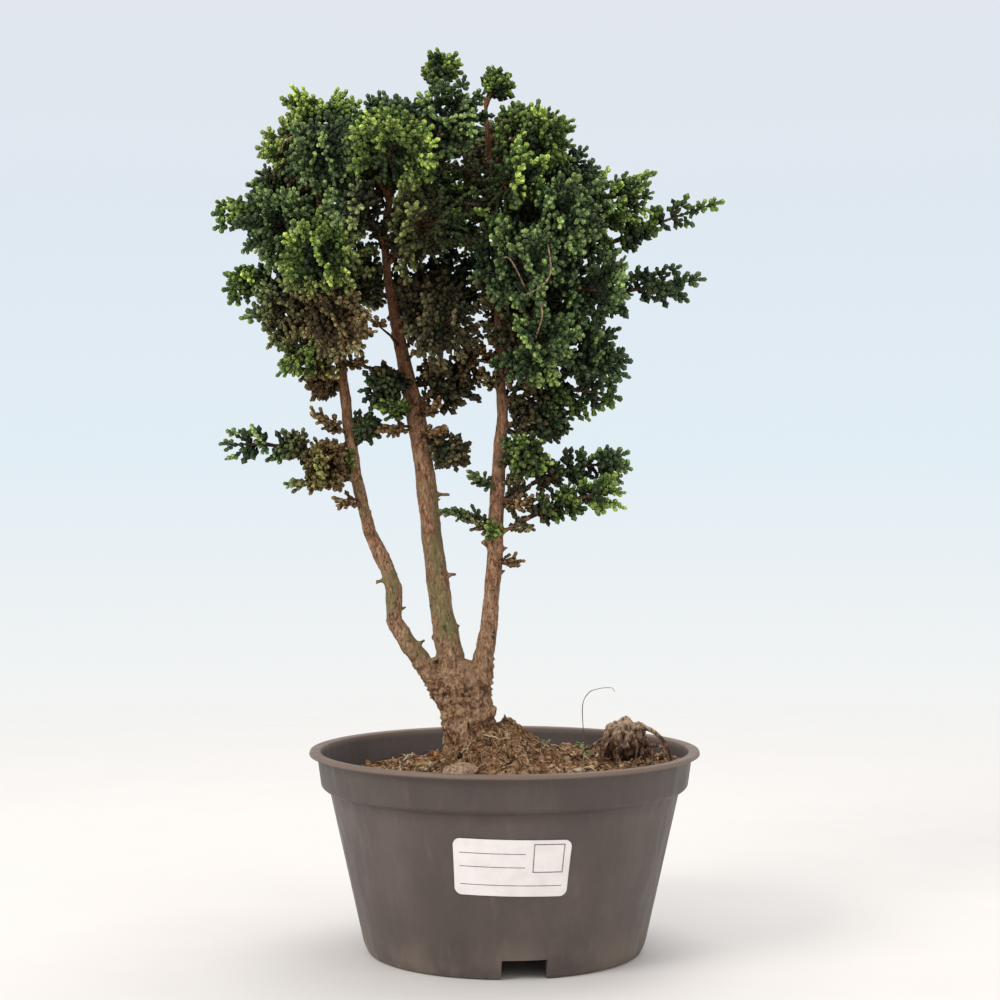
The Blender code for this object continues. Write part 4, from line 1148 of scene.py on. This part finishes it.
def roughened(obj, name, voxel, depth, size, seed, smooth=2, stretch=lambda z: 1.0):
    """A finer closed mesh of an object, with its surface pushed in and out by noise."""
    remesh = obj.modifiers.new("remesh", "REMESH")
    remesh.mode = "VOXEL"
    remesh.voxel_size = voxel * MM
    obj.modifiers.new("soften", "SMOOTH").iterations = smooth
    obj = baked(obj, name)
    mesh = obj.data
    places, normals = np.empty((2, len(mesh.vertices) * 3))
    mesh.vertices.foreach_get("co", places)
    mesh.vertices.foreach_get("normal", normals)
    pushes = []
    for x, y, z in places.reshape(-1, 3) / MM:
        spot = Vector((x / size, y / size, z / size / stretch(z) + seed))
        pushes.append(noise.fractal(spot, 0.9, 2.1, 4) * depth(z))
    mesh.vertices.foreach_set("co", places + normals * np.repeat(pushes, 3) * MM)
    mesh.update()
    return obj


def cad_copy(node, material):
    """A copy of a CAD node's own mesh, to work on."""
    return placed(f"{node}_copy", frame["nodes"][node].data.copy(), material)


def build_lump(node, name, slot, material):
    """A small CAD piece, remeshed and given a rough surface."""
    voxel, depth, size, seed, smooth = LUMPS[node]
    lump = roughened(cad_copy(node, material), name, voxel, lambda z: depth, size, seed, smooth)
    return dress(lump, slot, node)


def stem_point(stem, z):
    """The place on a stem's middle line at a height."""
    route = STEMS[stem]
    for low, high in zip(route, route[1:]):
        if z <= high[2] or high is route[-1]:
            share = (z - low[2]) / (high[2] - low[2])
            return Vector(low[:3]).lerp(Vector(high[:3]), share)
    return Vector(route[-1][:3])


def branch_axis(spray):
    """The middle line of a spray's branch, from its stem to its tip."""
    stem, foot, tip, _, bow, _ = spray
    start, end = stem_point(stem, foot), Vector(tip)
    middle = (start + end) / 2 + Vector((0.0, 0.0, 2.0 * bow))
    shares = [k / AXIS_STEPS for k in range(AXIS_STEPS + 1)]
    return [start.lerp(middle, share).lerp(middle.lerp(end, share), share) for share in shares]


def along(axis, share):
    """The point at a share of the way along an axis."""
    place = eased(share, 1.0) * (len(axis) - 1)
    k = min(int(place), len(axis) - 2)
    return axis[k].lerp(axis[k + 1], place - k)


def forward_along(axis, share):
    return (along(axis, share + 0.05) - along(axis, share - 0.05)).normalized()


def nearest_share(axis, place):
    """The share of the way along an axis that is nearest to a place."""
    return min([k / 20 for k in range(21)], key=lambda share: (along(axis, share) - place).length)


def add_stub(stubs, foot, out, reach, radii):
    stubs.tube([foot, foot + out * reach * 0.6, foot + out * reach], radii, 6, TWIG_COLOUR)


def build_wood():
    """The CAD wood with stubs of lost twigs, remeshed and given its bark."""
    draw = random.Random(77)
    wood = cad_copy("wood", stem_bark())
    stubs = Shape()
    for stem in STEMS:
        for _ in range(STUBS_PER_STEM):
            foot = stem_point(stem, draw.uniform(*STUB_HEIGHTS))
            angle = draw.uniform(0, 2 * math.pi)
            out = Vector((*polar(1.0, angle), draw.uniform(0.2, 0.7))).normalized()
            add_stub(stubs, foot, out, draw.uniform(5.5, 8.5), [1.5, 1.2, 0.7])
    for stem, height, way, reach in STUBS:
        add_stub(stubs, stem_point(stem, height), Vector(way).normalized(), reach, [1.3, 1.1, 0.9])
    for x, z, reach, radius in BURRS:
        foot = Vector((x, -8.0, z))
        stubs.tube([foot, foot + Vector((reach / 3, -4, 1)), foot + Vector((reach, -6, 2))],
                   [radius, radius, radius * 0.6], 7, TWIG_COLOUR)
    extra = stubs.object("stubs", wood.data.materials[0])
    joined = bmesh.new()
    joined.from_mesh(wood.data)
    joined.from_mesh(extra.data)
    joined.to_mesh(wood.data)
    joined.free()
    bpy.data.objects.remove(extra)
    wood = roughened(wood, "bark", WOOD_VOXEL, bark_depth, 4.5, 11.0, stretch=bark_stretch)
    return dress(wood, "bark", "wood")


# The leafy sprays


def crown_depth(places):
    """0 deep inside the crown, 1 at its outside, for each place."""
    offsets = (places - np.array(CROWN_MIDDLE)) / np.array(CROWN_REACH)
    offsets[:, 2] = np.maximum(offsets[:, 2], 0.0)
    return np.clip((np.linalg.norm(offsets, axis=1) - 0.35) / 0.6, 0.0, 1.0)


class Territories:
    """Says which points of the crown belong to which spray, so that sprays don't run through each other."""

    def __init__(self):
        self.axes = [branch_axis(spray) for spray in SPRAYS]
        self.widths = np.array([spray[3] for spray in SPRAYS], float)
        self.branches = self.segments(self.axes)
        self.stems = self.segments([[Vector(place[:3]) for place in route] for route in STEMS.values()])

    def segments(self, lines):
        """Every stretch of several lines: its start, its step and the number of its line."""
        starts = [place for line in lines for place in line[:-1]]
        steps = [after - place for line in lines for place, after in zip(line, line[1:])]
        owners = [number for number, line in enumerate(lines) for _ in line[:-1]]
        return np.array(starts), np.array(steps), np.array(owners), len(lines)

    def distances(self, places, segments):
        """How far each place is from each line."""
        starts, steps, owners, count = segments
        offsets = places[:, None, :] - starts[None]
        shares = np.clip((offsets * steps).sum(2) / (steps * steps).sum(1), 0.0, 1.0)
        apart = np.linalg.norm(offsets - steps[None] * shares[:, :, None], axis=2)
        return np.stack([apart[:, owners == owner].min(1) for owner in range(count)], axis=1)

    def free(self, number, places):
        """Which places are the spray's own."""
        apart = self.distances(places, self.branches)
        shares = apart / self.widths
        own_share = shares[:, number].copy()
        apart[:, number] = shares[:, number] = 1e9
        own = shares.min(1) > own_share - TERRITORY_OVERLAP / self.widths[number]
        limit = SPRAY_REACH + INNER_REACH * (1.0 - crown_depth(places)) * (places[:, 2] > CROWN_FOOT)
        own &= (own_share < limit) & (apart.min(1) > BRANCH_CLEARANCE)
        return own & (self.distances(places, self.stems).min(1) > STEM_CLEARANCE)

    def reach(self, number, root, tips):
        """How far from root towards each tip the spray may grow, as shares of the way."""
        shares = np.arange(1, REACH_STEPS + 1) / REACH_STEPS
        root, tips = np.array(root), np.array(tips)
        places = root + (tips[:, None, :] - root) * shares[None, :, None]
        own = self.free(number, places.reshape(-1, 3)).reshape(len(tips), REACH_STEPS)
        return np.argmin(np.hstack([own, np.zeros((len(tips), 1), bool)]), axis=1) / REACH_STEPS


def twisted(outward, direction, twist):
    """A fan's normal: the way outward made square on the fan's direction, and turned about it."""
    normal = squared(outward, direction)
    return turned(normal, direction.cross(normal), twist)


def fan_frame(axis, width, rank, count, draw):
    """(root, direction, normal, length) of one fan: rank 0 ends the spray, the last sits at its foot."""
    back = rank / (count - 1)
    length = width * draw.uniform(*FAN_LENGTH_SHARES)
    share = LAST_FAN_SHARE + (FIRST_FAN_SHARE - LAST_FAN_SHARE) * (1.0 - back)
    forward = forward_along(axis, share)
    side = forward.cross(UP)
    side = side.normalized() if side.length > 0.1 else Vector((1.0, 0.0, 0.0))
    over = side.cross(forward).normalized()
    outward = turned(side, over, rank * GOLDEN_ANGLE + draw.uniform(-0.3, 0.3))
    lean = math.radians(FIRST_FAN_LEAN_DEG + (LAST_FAN_LEAN_DEG - FIRST_FAN_LEAN_DEG) * back ** 0.8)
    if rank == 0:
        root = along(axis, CORE_END - 0.05)
        direction = (axis[-1] - root).normalized()
        length = (axis[-1] - root).length + TIP_OVERHANG
    else:
        direction = (turned(forward, outward, lean) + UP * FAN_LIFT).normalized()
        root = along(axis, share) + outward * 0.3 * CORE_SHARE * width
    return root, direction, twisted(outward, direction, draw.uniform(-0.6, 0.6)), length


def extra_frame(axis, width, place, draw):
    """A fan between the solid's own ones."""
    share = draw.uniform(*LEAFY_SHARES)
    forward = forward_along(axis, share)
    side = spoke(forward, place * GOLDEN_ANGLE + draw.uniform(-0.4, 0.4))
    lean = math.radians(draw.uniform(*MORE_FANS_LEAN_DEG))
    direction = (turned(forward, side, lean) + UP * MORE_FANS_LIFT).normalized()
    normal = twisted(side, direction, draw.uniform(-0.9, 0.9))
    root = along(axis, share) + side * draw.uniform(0.1, 0.5) * CORE_SHARE * width
    return root, direction, normal, width * draw.uniform(0.95, 1.45)


def fan_tips(fan):
    """The tips of a fan's ribs when nothing is in their way."""
    root, direction, normal, length = fan
    across = normal.cross(direction)
    tips = []
    for k in range(FAN_LOBES):
        share = 2.0 * k / (FAN_LOBES - 1) - 1.0
        angle = math.radians(FAN_HALF_ANGLE_DEG) * share
        radius = length * (1.0 - FAN_ROUNDING * share ** 2)
        cup = FAN_CUP * radius * math.sin(angle) ** 2
        tips.append(root + turned(direction, across, angle) * radius - normal * cup)
    return tips


class Foliage:
    """The leaves of one piece, with what is asked for each knob: may it be there, and in what colour."""

    def __init__(self, territories):
        self.territories = territories
        self.full, self.plain = Leaves(FULL_LEAF), Leaves(PLAIN_LEAF)

    def open_space(self, place):
        """True where the photographed crown lets one see in from the front."""
        if place.y > 0.0:
            return False
        for stem, low, high in SLOTS:
            if low < place.z < high and abs(place.x - stem_point(stem, place.z).x) < SLOT_HALF_WIDTH:
                return True
        across = (place.x - HOLLOW_MIDDLE[0]) / HOLLOW_REACH[0]
        up = (place.z - HOLLOW_MIDDLE[1]) / HOLLOW_REACH[1]
        return across ** 2 + up ** 2 < 1.0 and place.y < HOLLOW_FRONT

    def colours(self, tone, place, light):
        """Makes a colour function for a knob: browner near the stems, most of all low in the crown."""
        apart = self.territories.distances(np.array([place]), self.territories.stems).min()
        low = eased(LOW_BROWN_TOP - place.z, LOW_BROWN_SPAN)
        near = eased(BROWN_REACH + LOW_BROWN_REACH * low - apart, BROWN_FADE)
        near *= eased(BROWN_TOP - place.z, BROWN_FADE)
        if place.z < GREEN_BELOW and place.x > GREEN_FROM:
            near *= GREEN_PART
        for left, right, foot, top, share in AGED_PATCHES:
            wide = eased(place.x - left, 14.0) * eased(right - place.x, 8.0)
            near = max(near, share * wide * eased(place.z - foot, 8.0) * eased(top - place.z, 10.0))
        dull = 0.0
        if place.x > DULL_FROM:
            dull = DULL_SHARE * eased(DULL_TOP - place.z, 15.0) * eased(place.z - DULL_FOOT, 10.0)

        def colour(step):
            own, dark, old, dead = [tone_colour(name, light + step) for name in (tone, "dark", "old", "dead")]
            return blend(blend(own, dark, dull), blend(old, dead, DEAD_SHARE * low * near), near * AGED_SHARE)

        return colour

    def knob(self, spot, heading, normal, size, tone, light, draw):
        """A knob of leaves: short rows that open out like the fingers of a hand."""
        if self.open_space(spot):
            return
        across = normal.cross(heading)
        colour = self.colours(tone, spot, light)
        lit = light > LIT_FROM
        if not lit:
            size *= SHADED_GROWTH
        for angle, count in LIT_ROWS if lit else SHADED_ROWS:
            way = turned(heading, across, math.radians(angle + draw.uniform(-KNOB_TURN_DEG, KNOB_TURN_DEG)))
            foot = spot
            for j in range(count):
                last = j == count - 1
                ahead = (way + normal * draw.uniform(-0.25, 0.4)).normalized()
                grown = size * draw.uniform(0.85, 1.12)
                sizes = (LEAF_LENGTH * grown, LEAF_WIDTH * grown, LEAF_THICKNESS * grown)
                leaves = self.full if last and lit else self.plain
                # Painted shade at each leaf's foot and painted light at its tip.
                tints = colour(-0.2), colour(0.2 if last else 0.0)
                leaves.add(foot, ahead, squared(normal, ahead), sizes, *tints)
                foot = foot + ahead * (sizes[0] * (1.0 - LEAF_OVERLAP))

    def rib(self, fan, tip, reach, tone, mood, draw):
        """A rib of a fan: a row of plain leaves that carries knobs to both sides and one at its end."""
        root, _, fan_normal, length = fan
        way = tip - root
        forward = way.normalized()
        normal = squared(fan_normal, forward)
        across = normal.cross(forward)
        radius = way.length * reach - RIB_MARGIN
        for k in range(int(radius / RIB_LEAF_STEP)):
            place = root + forward * (k * RIB_LEAF_STEP)
            colour = self.colours(tone, place, RIB_LIGHT * mood)
            sizes = (LEAF_LENGTH * 1.3, LEAF_WIDTH, LEAF_THICKNESS)
            # Painted light a little stronger at each rib leaf's tip.
            self.plain.add(place, forward, normal, sizes, colour(0), colour(0.1))
        for k in range(max(1, int(radius / TUFT_STEP))):
            away = radius - k * TUFT_STEP
            spot = root + forward * max(away, 1.0)
            turn = draw.uniform(-0.3, 0.3) if k == 0 else (1 if k % 2 else -1) * draw.uniform(0.5, 1.0)
            heading = (turned(forward, across, turn) + normal * draw.uniform(-0.35, 0.35)).normalized()
            upright = squared(normal + UP * 0.6 + across * draw.uniform(-0.6, 0.6), heading)
            share = max(away, 0.0) / length
            shown = crown_depth(np.array([spot]))[0]
            light = mood * (FOOT_LIGHT + TIP_LIGHT * share ** 1.2) * (INNER_LIGHT + OUTER_LIGHT * shown)
            light += draw.uniform(-0.1, 0.1)
            light += LOW_LIGHT * eased(CROWN_FOOT - spot.z, 20.0)
            if draw.random() < NEW_GROWTH_SHARE * share:
                light += NEW_GROWTH_LIGHT
            self.knob(spot, heading, upright, draw.uniform(0.85, 1.15), tone, light, draw)

    def core(self, number, axis, width, draw):
        """Shaded knobs close round the branch, where the inner foliage is dense."""
        for place in range(CORE_KNOBS):
            share = draw.uniform(*LEAFY_SHARES)
            forward = forward_along(axis, share)
            out = spoke(forward, place * GOLDEN_ANGLE)
            spot = along(axis, share) + out * (CORE_SHARE * width * draw.uniform(0.2, 0.9))
            if self.territories.free(number, np.array([spot]))[0]:
                heading = (out + forward * draw.uniform(-0.3, 0.8)).normalized()
                size, light = draw.uniform(0.9, 1.2), draw.uniform(0.02, 0.2)
                self.knob(spot, heading, squared(forward, heading), size, "dark", light, draw)

    def fan(self, number, fan, tone, mood, draw):
        tips = fan_tips(fan)
        for tip, reach in zip(tips, self.territories.reach(number, fan[0], tips)):
            reach = min(reach * draw.uniform(0.88, 1.04), 1.0)
            if (tip - fan[0]).length * reach > RIB_MARGIN:
                self.rib(fan, tip, reach, tone, mood, draw)

    def piece(self, name, twigs, material):
        """One object from twigs and the leaves on them."""
        self.full.pour_into(twigs)
        self.plain.pour_into(twigs)
        return twigs.object(name, material)


def build_spray(number, spray, territories, materials):
    stem, _, _, width, _, tone = spray
    axis = territories.axes[number]
    own = random.Random(100 + number)
    draw = random.Random(500 + number)
    count = FANS_ON_LARGE_SPRAY if width > LARGE_SPRAY_WIDTH else FANS_ON_SMALL_SPRAY
    frames = [fan_frame(axis, width, rank, count, own) for rank in range(count)]
    frames += [extra_frame(axis, width, place, draw) for place in range(MORE_FANS)]
    leaves = Foliage(territories)
    for fan in frames:
        leaves.fan(number, fan, tone, draw.uniform(0.72, 1.2), draw)
    for place in range(INNER_FANS):
        _, direction, normal, length = extra_frame(axis, width, place + 0.5, draw)
        inner = along(axis, draw.uniform(0.06, 0.4)), direction, normal, length * INNER_FAN_LENGTH
        leaves.fan(number, inner, "old", draw.uniform(0.6, 1.2), draw)
    leaves.core(number, axis, width, draw)
    twigs = Shape()
    shares, radii = zip(*SPRAY_TWIG)
    twigs.tube([along(axis, share) for share in shares], radii, 6, TWIG_COLOUR)
    for root, direction, _, _ in frames:
        start = along(axis, nearest_share(axis, root) - 0.06)
        twigs.tube([start, root, root + direction * 6.0], [0.75, 0.6, 0.4], 5, TWIG_COLOUR)
    piece = leaves.piece(f"leaves_{stem}_{number + 1:02d}", twigs, materials[tone])
    return dress(piece, f"foliage_{tone}", f"spray_{stem}_{number + 1:02d}")


def build_sprigs(territories, materials):
    """Short sprigs that grow straight from the stems, each on its own twig."""
    draw = random.Random(61)
    for tone, sprigs in SPRIGS.items():
        leaves = Foliage(territories)
        twigs = Shape()
        for stem, height, tip in sprigs:
            foot, end = stem_point(stem, height), Vector(tip)
            twigs.tube([foot, foot.lerp(end, 0.5) + UP * 1.5, end], [0.9, 0.7, 0.4], 5, TWIG_COLOUR)
            forward = (end - foot).normalized()
            count = 3 + int((end - foot).length / SPRIG_STEP)
            for k in range(count):
                share = 0.4 + 0.6 * k / (count - 1)
                heading = (spoke(forward, k * GOLDEN_ANGLE) * (1.3 - share) + forward * share).normalized()
                normal = squared(Vector((0.0, -0.3, 1.0)), heading)
                light = 0.22 + 0.34 * share + draw.uniform(-0.08, 0.12)
                size = draw.uniform(0.85, 1.1)
                leaves.knob(foot.lerp(end, share), heading, normal, size, tone, light, draw)
        slot = tone if tone in materials else "old"
        dress(leaves.piece(f"sprigs_{tone}", twigs, materials[slot]), f"foliage_{slot}")


# Floor, light and camera


def build_stage():
    """A plain pale floor that fades into the sky."""
    mesh = bpy.data.meshes.new("floor")
    ring = [(*spot, -FLOOR_DROP) for spot in circle(FLOOR_RADIUS, FLOOR_SIDES)]
    mesh.from_pydata(ring, [], [tuple(range(FLOOR_SIDES))])
    paint = Paint("floor")
    far = paint.new("ShaderNodeVectorMath", {0: paint.place}, operation="LENGTH").outputs["Value"]
    paint.plug(paint.shader.inputs["Alpha"], paint.between(far, 0.3, 1.3, 1.0, 0.0))
    mottle = paint.noise(60.0, 4.0, 0.6)
    colour = paint.ramp(mottle, [(0.35, FLOOR_COLOUR), (0.65, tuple(c * 1.02 for c in FLOOR_COLOUR))])
    placed("floor", mesh, paint.finish(colour, 0.7, paint.bump(mottle, 0.1)))


def build_sky():
    """A pale sky: warm white low down, light blue behind the crown, greyer above."""
    world = bpy.data.worlds.new("sky")
    bpy.context.scene.world = world
    world.use_nodes = True
    sky = Nodes(world.node_tree)
    height = sky.axis("Z", sky.new("ShaderNodeTexCoord").outputs["Generated"])
    spread = sky.new("ShaderNodeMapRange", {"Value": height, "From Min": -SKY_SPAN, "From Max": SKY_SPAN})
    ground = sky.tree.nodes["Background"]
    sky.plug(ground.inputs["Color"], sky.ramp(spread.outputs["Result"], SKY_STOPS))
    sky.plug(ground.inputs["Strength"], SKY_STRENGTH)


def build_lights():
    """Large soft lamps: (name, place, aim, size, power), in metres and watts."""
    for name, place, aim, size, power in LAMPS:
        lamp = bpy.data.lights.new(name, "AREA")
        lamp.shape = "DISK"
        lamp.size = size
        lamp.energy = power
        obj = bpy.data.objects.new(name, lamp)
        obj.location = place
        obj.rotation_euler = (Vector(aim) - Vector(place)).to_track_quat("-Z", "Y").to_euler()
        obj.visible_camera = False
        bpy.context.scene.collection.objects.link(obj)


def build_camera():
    lens = bpy.data.cameras.new("camera")
    lens.lens = CAMERA_LENS
    lens.sensor_width = 36.0
    camera = bpy.data.objects.new("camera", lens)
    camera.location = Vector(CAMERA_PLACE) * MM
    camera.rotation_euler = (math.radians(90.0 + CAMERA_PITCH_DEG), 0.0, 0.0)
    bpy.context.scene.collection.objects.link(camera)
    bpy.context.scene.camera = camera
    bpy.context.scene.view_settings.view_transform = "Standard"


def main():
    build_camera()
    build_lights()
    build_sky()
    build_stage()
    build_pot()
    build_label()
    build_soil()
    build_litter()
    clump = build_lump("root_clump", "root_knuckle", "root_bark", root_bark())
    root_material = clump.data.materials[0]
    build_threads("loose_roots", LOOSE_ROOTS, 0.5, 6, LOOSE_ROOT_COLOUR, root_material)
    build_lump("stone", "pebble", "stone", pebble_stone())
    build_lump("bark_chip", "bark_flake", "bark_chip", chip_bark())
    build_sprouts()
    build_wood()
    build_threads("dry_twigs", DRY_TWIGS, 0.0, 5, TWIG_COLOUR, root_material)
    territories = Territories()
    materials = {tone: foliage(tone) for tone in ("fresh", "dark", "old")}
    for number, spray in enumerate(SPRAYS):
        build_spray(number, spray, territories, materials)
    build_sprigs(territories, materials)


main()
